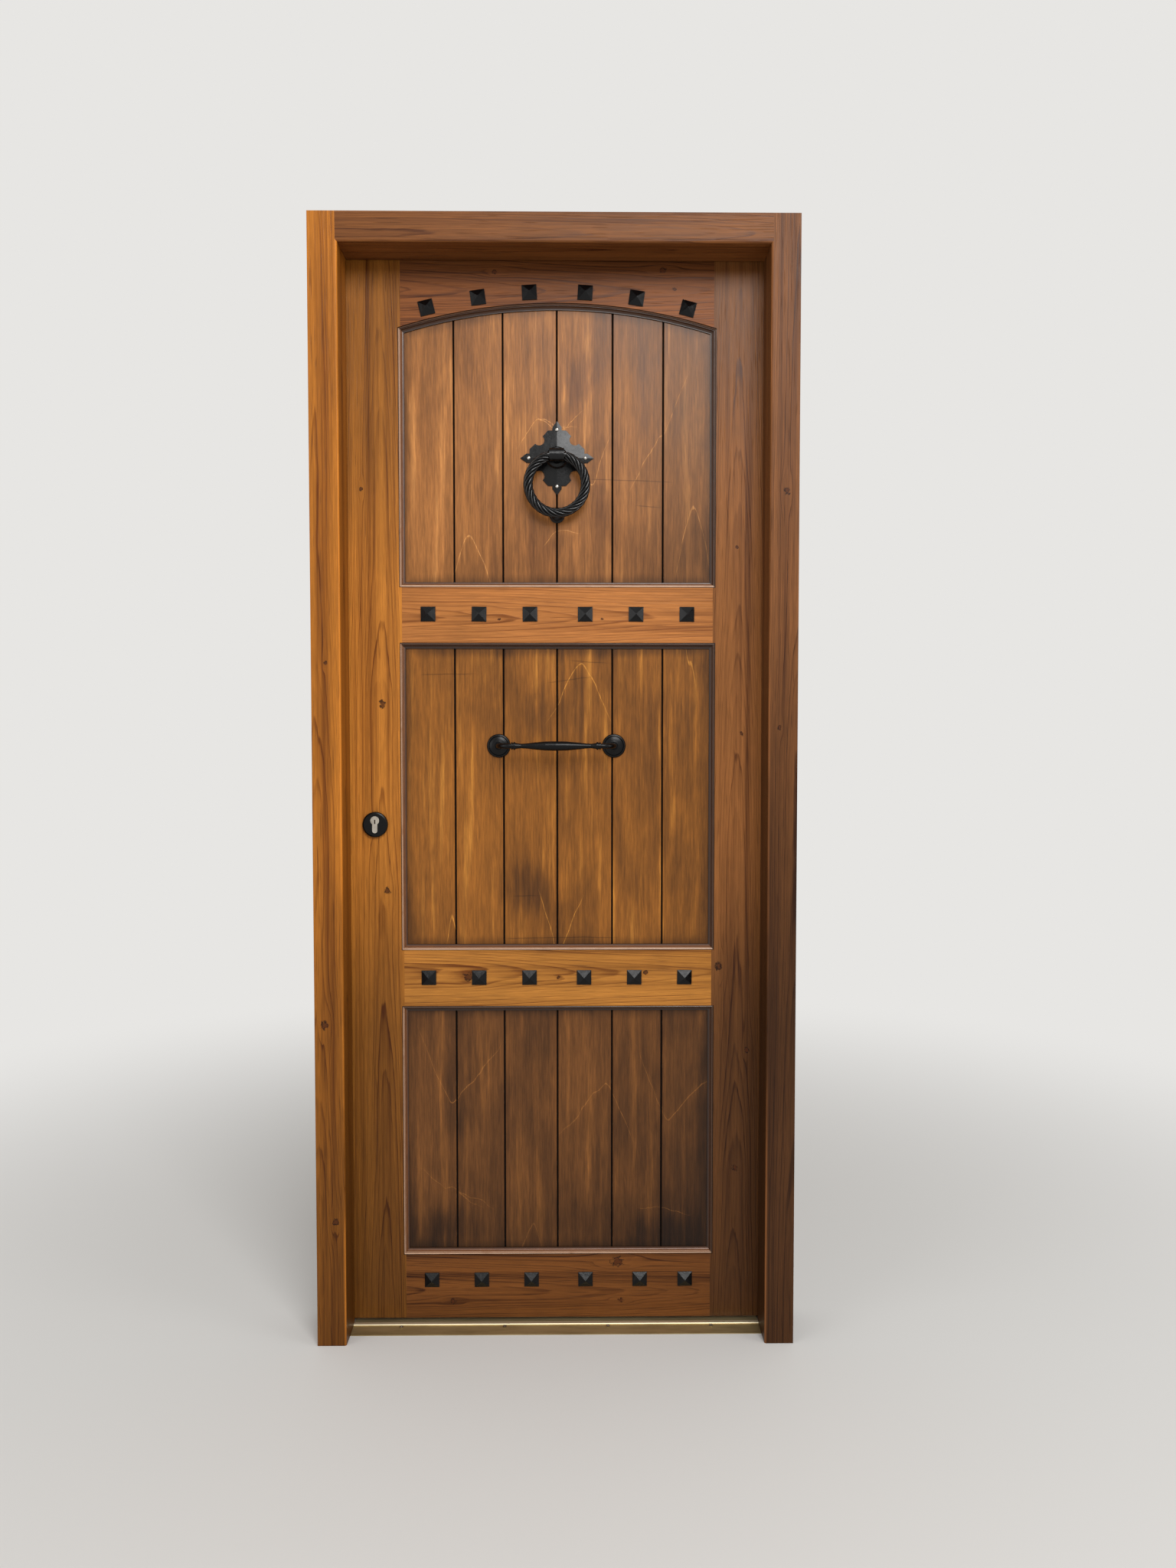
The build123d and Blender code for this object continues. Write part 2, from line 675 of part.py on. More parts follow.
def plain_stile(left, right):
    """An upright of the leaf with its mortises, panel grooves and rebates."""
    upright = block((left, 0, FOOT_RISE), (right, LEAF_THICKNESS, LEAF_TOP))
    for name in RAILS:
        upright -= rail_tenon(name, TENON_FIT)
    for name in OPENINGS:
        upright -= panel_seat(name)
    return upright


def hinge_stile():
    """The right-hand upright, let in for the hinges."""
    upright = plain_stile(OPEN_RIGHT, LEAF_HALF)
    for height in HINGE_HEIGHTS.values():
        upright -= hinge_recess(height, -1)
        for screw in hinge_screws(height, -1, SCREW_FIT):
            upright -= screw
    return upright


def lock_stile():
    """The left-hand upright, cut for the lock case, forend, cylinder and spindle."""
    upright = plain_stile(-LEAF_HALF, OPEN_LEFT)
    upright -= case_block(CASE_FIT)
    upright -= forend_block()
    upright -= cylinder_profile(CYLINDER_FIT, 0, LEAF_THICKNESS)
    upright -= rod_y(LOCK_X, LEVER_HEIGHT, LEVER_NECK_RADIUS + CYLINDER_FIT, LEAF_MIDDLE, LEAF_THICKNESS)
    for screw in forend_screws(SCREW_FIT):
        upright -= screw
    return upright


def rail(name):
    """A cross member with tenons, panel grooves, rebates and stud holes."""
    foot, head = RAILS[name]
    bar = block((OPEN_LEFT, 0, foot), (OPEN_RIGHT, LEAF_THICKNESS, head))
    if name == "top":
        bar -= slab(opening_face("top"), 0, LEAF_THICKNESS)
    bar += rail_tenon(name)
    for opening in OPENINGS:
        bar -= panel_seat(opening)
    for place in stud_places(name):
        bar -= stud_shank(place, STUD_FIT)
    return bar


# Studs
def stud_offsets():
    """Six places along a row, from its middle: two groups of three."""
    inner = STUD_MIDDLE_PITCH / 2
    right = [inner + step * STUD_PITCH for step in range(3)]
    return [-x for x in reversed(right)] + right


def stud_places(name):
    """X, Z and tilt in degrees of each stud in a rail's row."""
    foot, head = RAILS[name]
    if name == "top":
        radius = ARCH_RADIUS + STUD_ARCH_LIFT
        places = []
        for offset in stud_offsets():
            lean = asin(offset / radius)
            places.append((OPEN_MIDDLE + offset, ARCH_CENTRE + radius * cos(lean), degrees(lean)))
        return places
    row = ("bottom", "lower", "upper").index(name)
    height = (foot + head) / 2 + STUD_ROW_LIFT[row]
    places = [(OPEN_MIDDLE + STUD_ROW_SHIFT[row] + offset, height, 0.0) for offset in stud_offsets()]
    if name == "bottom":
        x, z, lean = places[4]
        places[4] = (x + STUD_STRAY, z, lean)
    return places


def stud_shank(place, grow=0.0):
    """The square nail behind a stud's head."""
    x, z, lean = place
    side = STUD_SHANK + 2 * grow
    return slab(Pos(x, z) * Rot(0, 0, -lean) * Rectangle(side, side), 0, STUD_LENGTH + grow)


def stud(place):
    """A pyramid head on a thin square rim, with its nail."""
    x, z, lean = place
    turn = Pos(x, z) * Rot(0, 0, -lean)
    rim = slab(turn * Rectangle(STUD_SIZE, STUD_SIZE), -STUD_RIM, 0)
    base = Plane.XZ.offset(STUD_RIM) * (turn * Rectangle(STUD_SIZE, STUD_SIZE))
    tip = Plane.XZ.offset(STUD_PEAK) * (turn * Rectangle(STUD_TIP, STUD_TIP))
    return rim + loft([base, tip], ruled=True) + stud_shank(place)


def stud_row(name):
    """The six studs of one rail."""
    return [stud(place) for place in stud_places(name)]


# Pull handle
def pull_places():
    """Centres of the two roses."""
    return [PULL_SHIFT - PULL_CENTRES / 2, PULL_SHIFT + PULL_CENTRES / 2]


def pull_rose(x):
    """A turned rose with a raised rim and a shallow dome round the neck."""
    inner = ROSE_RADIUS - 2 * ROSE_RIM
    bore = PULL_NECK_RADIUS
    outline = [
        (bore, 0),
        (ROSE_RADIUS, 0),
        (ROSE_RADIUS, ROSE_THICKNESS * 0.35),
        (ROSE_RADIUS - ROSE_RIM * 0.5, ROSE_THICKNESS * 0.55),
        (inner + ROSE_RIM * 0.6, ROSE_THICKNESS * 0.62),
        (inner, ROSE_THICKNESS * 0.5),
        (inner * 0.75, ROSE_THICKNESS * 0.66),
        (bore + ROSE_RIM, ROSE_THICKNESS * 0.8),
        (bore + ROSE_RIM * 0.6, ROSE_THICKNESS),
        (bore, ROSE_THICKNESS),
    ]
    return turned_y(x, PULL_HEIGHT, PANEL_FACE, outline)


def grip_half_outline():
    """Radius along one half of the grip, from its middle to the collars."""
    flare = (PULL_WAIST_RADIUS + PULL_COLLAR_RADIUS) / 2
    collar = PULL_FLARE_AT
    width = PULL_COLLAR_WIDTH
    neck_at = grip_reach()
    return [
        (0, PULL_BELLY_RADIUS),
        (PULL_WAIST_AT * 0.3, PULL_BELLY_RADIUS * 0.955),
        (PULL_WAIST_AT * 0.6, PULL_BELLY_RADIUS * 0.76),
        (PULL_WAIST_AT * 0.85, PULL_WAIST_RADIUS * 1.15),
        (PULL_WAIST_AT, PULL_WAIST_RADIUS),
        ((PULL_WAIST_AT + collar) / 2, PULL_WAIST_RADIUS * 1.15),
        (collar, flare),
        (collar, PULL_COLLAR_RADIUS),
        (collar + width, PULL_COLLAR_RADIUS),
        (collar + width, flare),
        (collar + 1.6 * width, flare),
        (collar + 1.6 * width, PULL_COLLAR_RADIUS * 0.94),
        (collar + 2.4 * width, PULL_COLLAR_RADIUS * 0.94),
        (collar + 2.4 * width, PULL_NECK_RADIUS),
        (neck_at, PULL_NECK_RADIUS),
    ]


def grip_reach():
    """Distance from the grip's middle to where its neck starts to bend."""
    return PULL_CENTRES / 2 - PULL_BEND


def pull_handle():
    """A turned grip whose necks bend back to the roses, in one piece."""
    left, right = pull_places()
    middle = (left + right) / 2
    half = grip_half_outline()
    outline = [(-grip_reach(), 0)]
    outline += [(-along, radius) for along, radius in reversed(half)]
    outline += [(along, radius) for along, radius in half[1:]]
    outline += [(grip_reach(), 0)]
    profile = make_face(Polyline(*outline, close=True))
    plane = Plane(origin=(middle, PULL_Y, PULL_HEIGHT), x_dir=(1, 0, 0), z_dir=(0, 1, 0))
    handle = revolve(plane * profile, axis=Axis((middle, PULL_Y, PULL_HEIGHT), (1, 0, 0)))
    for x, side in ((left, -1), (right, 1)):
        handle += pull_neck(x, side)
    for x in (left, right):
        handle -= rod_y(x, PULL_HEIGHT, PULL_BOLT_RADIUS, PANEL_FACE - PULL_BOLT_THREAD, PANEL_FACE)
    return handle


def pull_neck(x, side):
    """A quarter bend and the straight leg that passes through the rose."""
    pivot_x = x - side * PULL_BEND
    pivot_y = PULL_Y + PULL_BEND
    end = Plane(origin=(pivot_x, PULL_Y, PULL_HEIGHT), x_dir=(0, 1, 0), z_dir=(1, 0, 0))
    face = end * Circle(PULL_NECK_RADIUS)
    axis = Axis((pivot_x, pivot_y, PULL_HEIGHT), (0, 0, side))
    bend = revolve(face, axis=axis, revolution_arc=90)
    return bend + rod_y(x, PULL_HEIGHT, PULL_NECK_RADIUS, pivot_y, PANEL_FACE)


def pull_bolts():
    """Two bolts from inside, with low domed heads against the panel's back."""
    bolts = []
    for x in pull_places():
        shank = rod_y(x, PULL_HEIGHT, PULL_BOLT_RADIUS, PANEL_FACE - PULL_BOLT_THREAD + PULL_BOLT_FIT, PANEL_BACK)
        head = turned_y(
            x,
            PULL_HEIGHT,
            PANEL_BACK,
            [(0, 0), (PULL_BOLT_HEAD, 0), (PULL_BOLT_HEAD, -1.5), (PULL_BOLT_HEAD * 0.7, -3.6), (0, -4.6)],
        )
        bolts.append(shank + head)
    return bolts


# Knocker
def plate_quadrant():
    """Edge points of the plate from its top tip round to its right tip, with one scallop between."""
    half_tip = PLATE_TIP_WIDTH
    return {
        "tip": (0, PLATE_REACH),
        "cheek": (half_tip, PLATE_REACH - 1.35 * half_tip),
        "shoulder": (half_tip, PLATE_SHOULDER),
        "lobe": (PLATE_LOBE, PLATE_SHOULDER),
        "corner": (PLATE_CORNER, PLATE_CORNER_RISE),
        "scallop": (PLATE_SCALLOP, PLATE_SCALLOP),
    }


def plate_outline():
    """The whole outline: one quadrant, turned four times."""
    points = plate_quadrant()
    names = ("tip", "cheek", "shoulder", "lobe", "corner")
    swapped = {name: (points[name][1], points[name][0]) for name in names}
    edges = []
    for turn in range(4):
        half = [spin(points[name], turn) for name in names]
        other = [spin(swapped[name], turn) for name in reversed(names)]
        edges += Polyline(*half).edges()
        edges += ThreePointArc(half[-1], spin(points["scallop"], turn), other[0]).edges()
        edges += Polyline(*other).edges()
    return make_face(edges)


def spin(point, turns):
    """A point turned clockwise by quarter turns."""
    x, z = point
    for _ in range(turns):
        x, z = z, -x
    return x, z


def knocker_plate():
    """Scalloped plate with four ridges, a low boss and the barrel that the ring swings in."""
    place = Pos(PLATE_SHIFT, PLATE_HEIGHT)
    sheet = slab(place * plate_outline(), PANEL_FACE - PLATE_PEAK, PANEL_FACE)
    slope = (PLATE_PEAK - PLATE_EDGE) / PLATE_REACH
    base_reach = PLATE_REACH + PLATE_EDGE / slope
    base = Plane.XZ.offset(-PANEL_FACE) * (place * diamond(base_reach))
    tip_reach = 0.5
    tip_rise = (base_reach - tip_reach) * slope
    tip = Plane.XZ.offset(tip_rise - PANEL_FACE) * (place * diamond(tip_reach))
    plate = sheet & loft([base, tip], ruled=True)
    boss_foot = PLATE_EDGE
    boss_top = PLATE_PEAK + BOSS_RISE
    outline = [(0, 0), (BOSS_RADIUS, 0), (BOSS_RADIUS, boss_foot + 4.5), (BOSS_RADIUS * 0.86, boss_top - 1.2)]
    outline += [(BOSS_RADIUS * 0.6, boss_top), (0, boss_top)]
    plate += turned_y(PLATE_SHIFT, PLATE_HEIGHT, PANEL_FACE, outline)
    half = SADDLE_WIDTH / 2
    low = (PLATE_SHIFT - half, BARREL_Y, PLATE_HEIGHT - SADDLE_HEIGHT / 2)
    high = (PLATE_SHIFT + half, PANEL_FACE - boss_foot, PLATE_HEIGHT + SADDLE_HEIGHT / 2)
    plate += block(low, high)
    ends = (PLATE_SHIFT - BARREL_LENGTH / 2, PLATE_SHIFT + BARREL_LENGTH / 2)
    plate += rod_x(BARREL_Y, PLATE_HEIGHT, BARREL_RADIUS, *ends)
    plate -= rod_x(BARREL_Y, PLATE_HEIGHT, JOURNAL_RADIUS + JOURNAL_FIT, *ends)
    for x, z in nail_places():
        plate -= rod_y(x, z, NAIL_SHANK_RADIUS + NAIL_FIT, PANEL_FACE - PLATE_PEAK, PANEL_FACE)
    return plate


def diamond(reach):
    """A square standing on its corner."""
    return make_face(Polyline((0, -reach), (reach, 0), (0, reach), (-reach, 0), close=True))


def nail_places():
    """Centres of the plate's four nails."""
    across = [(PLATE_SHIFT + side * NAIL_SPACING, PLATE_HEIGHT) for side in (-1, 1)]
    upright = [(PLATE_SHIFT, PLATE_HEIGHT + side * NAIL_SPACING) for side in (-1, 1)]
    return across + upright


def nail_end():
    """Depth that a plate nail reaches."""
    return PANEL_FACE + NAIL_LENGTH


def anvil_end():
    """Depth that the strike stud's shank reaches."""
    return PANEL_FACE + ANVIL_SHANK_LENGTH


def knocker_nails():
    """Four domed nails that sit on the plate's ridges."""
    slope = (PLATE_PEAK - PLATE_EDGE) / PLATE_REACH
    ridge = PLATE_PEAK - slope * (NAIL_SPACING - NAIL_HEAD_RADIUS)
    nails = []
    for x, z in nail_places():
        shank = rod_y(x, z, NAIL_SHANK_RADIUS, PANEL_FACE - ridge, nail_end())
        outline = [(0, ridge), (NAIL_HEAD_RADIUS, ridge), (NAIL_HEAD_RADIUS * 0.9, ridge + NAIL_HEAD_RISE * 0.5)]
        outline += [(NAIL_HEAD_RADIUS * 0.55, ridge + NAIL_HEAD_RISE * 0.88), (0, ridge + NAIL_HEAD_RISE)]
        nails.append(shank + turned_y(x, z, PANEL_FACE, outline))
    return nails


def knocker_anvil():
    """The domed stud that the ring strikes."""
    height = BARREL_STANDOFF - RING_CREST - ANVIL_CLEARANCE
    wall = height - ANVIL_DOME
    outline = [(0, 0), (ANVIL_RADIUS, 0), (ANVIL_RADIUS, wall * 0.35), (ANVIL_RADIUS * 0.8, wall * 0.55)]
    outline += [(ANVIL_RADIUS * 0.8, wall), (ANVIL_RADIUS * 0.6, height - ANVIL_DOME * 0.35)]
    outline += [(ANVIL_RADIUS * 0.3, height), (0, height)]
    z = RING_CENTRE - RING_RADIUS
    head = turned_y(PLATE_SHIFT, z, PANEL_FACE, outline)
    return head + rod_y(PLATE_SHIFT, z, ANVIL_SHANK_RADIUS, PANEL_FACE, anvil_end())


def ring_point(angle, turn, radius):
    """A point on the ring's skin: angle from the ring's top, turn and radius about its centreline."""
    reach = RING_RADIUS + radius * cos(turn)
    x = PLATE_SHIFT + reach * sin(angle)
    return Vector(x, BARREL_Y + radius * sin(turn), RING_CENTRE + reach * cos(angle))


def strand_section(angle, twist):
    """The ring's section at an angle from its top: rounded strands, turned by the lay."""
    points = []
    for strand in range(RING_STRANDS):
        for share, radius in ((0.0, RING_VALLEY), (0.32, RING_CREST), (0.68, RING_CREST)):
            turn = twist + (strand + share) * 2 * pi / RING_STRANDS
            points.append(ring_point(angle, turn, radius))
    return points


def rope(start):
    """The twisted bar, bent round from one side of the barrel to the other, in flat triangles."""
    swing = 2 * pi - 2 * start
    sections = []
    for index in range(RING_SECTIONS + 1):
        angle = start + swing * index / RING_SECTIONS
        twist = 2 * pi * RING_RADIUS * (angle - start) / RING_LEAD
        sections.append(strand_section(angle, twist))
    faces = [Face(Wire.make_polygon(sections[0])), Face(Wire.make_polygon(sections[-1]))]
    for near, far in zip(sections, sections[1:]):
        for a, b, c, d in zip(near, near[1:] + near[:1], far[1:] + far[:1], far):
            faces.append(Face(Wire.make_polygon([a, b, d])))
            faces.append(Face(Wire.make_polygon([b, c, d])))
    return Solid(Shell(faces))


def knocker_ring():
    """The ring: its rope and a plain journal through the barrel."""
    lean = asin((BARREL_LENGTH / 2 + RING_CREST / 3) / RING_RADIUS)
    start = asin((BARREL_LENGTH / 2 + RING_END_GAP + RING_CREST * sin(lean)) / RING_RADIUS)
    end = RING_RADIUS * sin(start) + JOURNAL_RUN_IN
    return rope(start) + rod_x(BARREL_Y, PLATE_HEIGHT, JOURNAL_RADIUS, PLATE_SHIFT - end, PLATE_SHIFT + end)


# Lock
def case_block(grow=0.0):
    """The room that the lock case takes in the stile."""
    half = CASE_THICKNESS / 2 + grow
    front = -LEAF_HALF + FOREND_THICKNESS
    low = LOCK_HEIGHT - CASE_BELOW - grow
    high = LOCK_HEIGHT + CASE_ABOVE + grow
    return block((front, LEAF_MIDDLE - half, low), (front + CASE_DEPTH + grow, LEAF_MIDDLE + half, high))


def forend_block():
    """The plate on the leaf's edge that carries the lock."""
    middle = LOCK_HEIGHT + (CASE_ABOVE - CASE_BELOW) / 2
    half = FOREND_WIDTH / 2
    low = (-LEAF_HALF, LEAF_MIDDLE - half, middle - FOREND_LENGTH / 2)
    high = (-LEAF_HALF + FOREND_THICKNESS, LEAF_MIDDLE + half, middle + FOREND_LENGTH / 2)
    return block(low, high)


def latch_block(grow=0.0):
    """The latch bolt as a plain block, drawn in."""
    half = BOLT_THICKNESS / 2 + grow
    tall = LATCH_HEIGHT / 2 + grow
    low = (-LEAF_HALF, LEAF_MIDDLE - half, LATCH_HEIGHT_AT - tall)
    return block(low, (-LEAF_HALF + LATCH_LENGTH, LEAF_MIDDLE + half, LATCH_HEIGHT_AT + tall))


def latch_bolt():
    """The spring latch: bevelled on the side that meets the strike first."""
    bolt = latch_block()
    y_front = LEAF_MIDDLE - BOLT_THICKNESS / 2
    corners = [(-LEAF_HALF, y_front), (-LEAF_HALF + LATCH_THROW, y_front), (-LEAF_HALF, y_front + BOLT_THICKNESS * 0.8)]
    wedge = extrude(make_face(Polyline(*corners, close=True)), amount=LATCH_HEIGHT)
    return bolt - Pos(0, 0, LATCH_HEIGHT_AT - LATCH_HEIGHT / 2) * wedge


def deadbolt_block(grow=0.0):
    """The dead bolt, drawn in."""
    half = BOLT_THICKNESS / 2 + grow
    tall = DEADBOLT_HEIGHT / 2 + grow
    low = (-LEAF_HALF, LEAF_MIDDLE - half, DEADBOLT_HEIGHT_AT - tall)
    return block(low, (-LEAF_HALF + DEADBOLT_LENGTH, LEAF_MIDDLE + half, DEADBOLT_HEIGHT_AT + tall))


def keeper_holes():
    """Height, size and throw of the two bolts that enter the strike."""
    return [
        (LATCH_HEIGHT_AT, LATCH_HEIGHT, LATCH_THROW),
        (DEADBOLT_HEIGHT_AT, DEADBOLT_HEIGHT, DEADBOLT_THROW),
    ]


def lock_case():
    """A thin steel box, open to the forend, pierced for the cylinder and the follower."""
    box = case_block()
    front = -LEAF_HALF + FOREND_THICKNESS
    half = CASE_THICKNESS / 2 - CASE_WALL
    low = LOCK_HEIGHT - CASE_BELOW + CASE_WALL
    high = LOCK_HEIGHT + CASE_ABOVE - CASE_WALL
    box -= block((front, LEAF_MIDDLE - half, low), (front + CASE_DEPTH - CASE_WALL, LEAF_MIDDLE + half, high))
    box -= cylinder_profile(CYLINDER_FIT, LEAF_MIDDLE - CASE_THICKNESS, LEAF_MIDDLE + CASE_THICKNESS)
    wall_front = LEAF_MIDDLE - CASE_THICKNESS / 2
    wall_back = LEAF_MIDDLE + CASE_THICKNESS / 2
    box -= rod_y(LOCK_X, LEVER_HEIGHT, follower_journal() + FOLLOWER_FIT, wall_front, wall_back)
    return box


def lock_forend():
    """The forend with rounded corners and clear holes for both bolts and the screws."""
    plate = forend_block()
    plate -= latch_block(BOLT_FIT)
    plate -= deadbolt_block(BOLT_FIT)
    for screw in forend_screws(SCREW_FIT):
        plate -= screw
    screw_z = LOCK_HEIGHT - CYLINDER_SCREW_DROP
    ends = (-LEAF_HALF, -LEAF_HALF + FOREND_THICKNESS)
    plate -= rod_x(LEAF_MIDDLE, screw_z, CYLINDER_SCREW_RADIUS + SCREW_FIT, *ends)
    return plate


def forend_screws(grow=0.0):
    """The two screws that hold the forend."""
    middle = LOCK_HEIGHT + (CASE_ABOVE - CASE_BELOW) / 2
    reach = (FOREND_LENGTH + CASE_ABOVE + CASE_BELOW) / 4
    heads = [(-LEAF_HALF, LEAF_MIDDLE, middle + side * reach) for side in (-1, 1)]
    return [wood_screw(head, (1, 0, 0), SCREW_LENGTH, grow) for head in heads]


def cylinder_screw():
    """The long screw from the forend into the cylinder's bridge."""
    z = LOCK_HEIGHT - CYLINDER_SCREW_DROP
    return rod_x(LEAF_MIDDLE, z, CYLINDER_SCREW_RADIUS, -LEAF_HALF, LOCK_X + CYLINDER_TONGUE / 2)


def follower_journal():
    """Radius of the follower's ends, which turn in the case's walls."""
    return FOLLOWER_RADIUS * 0.8


def lock_follower():
    """The hub that the spindle turns."""
    gap = CASE_WALL + BOLT_FIT
    front = LEAF_MIDDLE - CASE_THICKNESS / 2
    back = LEAF_MIDDLE + CASE_THICKNESS / 2
    hub = rod_y(LOCK_X, LEVER_HEIGHT, FOLLOWER_RADIUS, front + gap, back - gap)
    hub += rod_y(LOCK_X, LEVER_HEIGHT, follower_journal(), front, back)
    return hub - spindle_bar(SPINDLE_FIT, front, back)


def spindle_bar(grow, y_front, y_back):
    """The square bar, turned with the lever."""
    side = SPINDLE_SIZE + 2 * grow
    face = Pos(LOCK_X, LEVER_HEIGHT) * Rot(0, 0, -LEVER_TURN) * Rectangle(side, side)
    return slab(face, y_front, y_back)


def cylinder_face(grow):
    """The keyhole-shaped profile of the cylinder."""
    round_part = Pos(LOCK_X, LOCK_HEIGHT) * Circle(CYLINDER_RADIUS + grow)
    tongue_radius = CYLINDER_TONGUE / 2 + grow
    drop = CYLINDER_HEIGHT - CYLINDER_RADIUS - CYLINDER_TONGUE / 2
    bar = Pos(LOCK_X, LOCK_HEIGHT - drop / 2) * Rectangle(2 * tongue_radius, drop)
    return round_part + bar + Pos(LOCK_X, LOCK_HEIGHT - drop) * Circle(tongue_radius)


def cylinder_profile(grow, y_front, y_back):
    """The cylinder's profile as a bar along Y."""
    return slab(cylinder_face(grow), y_front, y_back)


def cylinder_ends():
    """Outer and inner ends of the cylinder."""
    reach = ESCUTCHEON_THICKNESS + CYLINDER_PROUD
    return -reach, LEAF_THICKNESS + reach


def cylinder_body():
    """The profile cylinder, bored for the plug, cut away for the cam and drilled for its screw."""
    front, back = cylinder_ends()
    body = cylinder_profile(0.0, front, back)
    body -= rod_y(LOCK_X, LOCK_HEIGHT, PLUG_RADIUS + PLUG_FIT, front, back)
    half = CAM_WIDTH / 2 + CAM_PLAY
    sweep_reach = CAM_REACH + CAM_PLAY
    body -= rod_y(LOCK_X, LOCK_HEIGHT, sweep_reach, LEAF_MIDDLE - half, LEAF_MIDDLE + half)
    z = LOCK_HEIGHT - CYLINDER_SCREW_DROP
    body -= rod_x(LEAF_MIDDLE, z, CYLINDER_SCREW_RADIUS, LOCK_X - CYLINDER_RADIUS, LOCK_X + CYLINDER_TONGUE / 2)
    return body


def cylinder_plug():
    """The plug, slotted for the key at its outer end."""
    front, back = cylinder_ends()
    plug = rod_y(LOCK_X, LOCK_HEIGHT, PLUG_RADIUS, front, back)
    half = KEYWAY_WIDTH / 2
    low = LOCK_HEIGHT - PLUG_RADIUS
    high = low + KEYWAY_HEIGHT
    return plug - block((LOCK_X - half, front, low), (LOCK_X + half, front + KEYWAY_DEPTH, high))


def thumb_turn():
    """The oval turn on the plug's inner end, with a softened face and a short neck."""
    _, seat = cylinder_ends()
    foot = seat + TURN_NECK
    head = foot + TURN_DEPTH
    outline = Pos(LOCK_X, LOCK_HEIGHT) * Rot(0, 0, 90) * SlotOverall(TURN_LENGTH, TURN_WIDTH)
    turn = slab(outline, foot, head)
    turn = chamfer(turn.faces().sort_by(Axis.Y)[-1].edges(), TURN_EDGE)
    return turn + rod_y(LOCK_X, LOCK_HEIGHT, TURN_NECK_RADIUS, seat, foot)


def cylinder_cam():
    """The cam round the plug, with the nose that drives the dead bolt."""
    half = CAM_WIDTH / 2
    ring = rod_y(LOCK_X, LOCK_HEIGHT, CYLINDER_RADIUS, LEAF_MIDDLE - half, LEAF_MIDDLE + half)
    nose_low = (LOCK_X - CAM_NOSE / 2, LEAF_MIDDLE - half, LOCK_HEIGHT - CAM_REACH + CAM_TIP_PLAY)
    ring += block(nose_low, (LOCK_X + CAM_NOSE / 2, LEAF_MIDDLE + half, LOCK_HEIGHT))
    return ring - rod_y(LOCK_X, LOCK_HEIGHT, PLUG_RADIUS, LEAF_MIDDLE - half, LEAF_MIDDLE + half)


def round_cover(height, y_seat, side):
    """A turned cover plate with a softened edge, on the outer face for side 1 and the inner for -1."""
    edge = ESCUTCHEON_EDGE
    thick = ESCUTCHEON_THICKNESS
    outline = [
        (0, 0),
        (ESCUTCHEON_RADIUS, 0),
        (ESCUTCHEON_RADIUS, side * (thick - edge)),
        (ESCUTCHEON_RADIUS - edge * 0.3, side * (thick - edge * 0.35)),
        (ESCUTCHEON_RADIUS - edge, side * thick),
        (0, side * thick),
    ]
    return turned_y(LOCK_X, height, y_seat, outline)


def escutcheon(y_seat, side):
    """A round cover plate with the cylinder's hole."""
    ends = sorted((y_seat, y_seat - side * ESCUTCHEON_THICKNESS))
    cover = round_cover(LOCK_HEIGHT - ESCUTCHEON_DROP, y_seat, side)
    return cover - cylinder_profile(ESCUTCHEON_FIT, *ends)


# Inside lever
def inner_rose():
    """The round rose that the lever turns in."""
    back = LEAF_THICKNESS + ESCUTCHEON_THICKNESS
    bore = rod_y(LOCK_X, LEVER_HEIGHT, LEVER_NECK_RADIUS + LEVER_NECK_FIT, LEAF_THICKNESS, back)
    return round_cover(LEVER_HEIGHT, LEAF_THICKNESS, -1) - bore


def inner_lever():
    """The lever, held down: a round neck and a grip that tapers and curls a little at its end."""
    y_axis = LEAF_THICKNESS + LEVER_STANDOFF
    neck = rod_y(LOCK_X, LEVER_HEIGHT, LEVER_NECK_RADIUS, LEAF_THICKNESS, y_axis)
    sections = []
    spots = ((0.0, 1.0, 0.0), (0.35, 0.86, 0.0), (0.7, 0.78, -0.03), (0.9, 0.9, -0.1), (1.0, 0.6, -0.17))
    for along, tall, sag in spots:
        height = LEVER_TIP_HEIGHT + (LEVER_ROOT_HEIGHT - LEVER_TIP_HEIGHT) * (tall - 0.6) / 0.4
        x = along * LEVER_LENGTH - LEVER_HEEL
        plane = Plane(origin=(x, 0, sag * LEVER_ROOT_HEIGHT), x_dir=(0, 1, 0), z_dir=(1, 0, 0))
        sections.append(plane * Ellipse(LEVER_DEPTH / 2, height / 2))
    grip = loft(sections)
    grip = Pos(LOCK_X, y_axis, LEVER_HEIGHT) * Rot(0, LEVER_TURN, 0) * grip
    lever = neck + grip
    return lever - spindle_bar(SPINDLE_FIT, LEAF_THICKNESS, LEAF_THICKNESS + LEVER_STANDOFF * 0.6)


def lever_spindle():
    """The square bar through the follower into the lever's neck."""
    front = LEAF_MIDDLE - CASE_THICKNESS / 2
    back = LEAF_THICKNESS + LEVER_STANDOFF * 0.6 - SPINDLE_FIT
    return spindle_bar(0.0, front, back)


# Strike
def strike_outline(grow):
    """The strike plate as a plain block, let in flush with the jamb's rebate."""
    face = -SIGHT_HALF - REBATE
    middle = (LATCH_HEIGHT_AT + DEADBOLT_HEIGHT_AT) / 2
    half = STRIKE_WIDTH / 2 + grow
    long = STRIKE_LENGTH / 2 + grow
    low = (face - STRIKE_THICKNESS, LEAF_MIDDLE - half, middle - long)
    return block(low, (face, LEAF_MIDDLE + half, middle + long))


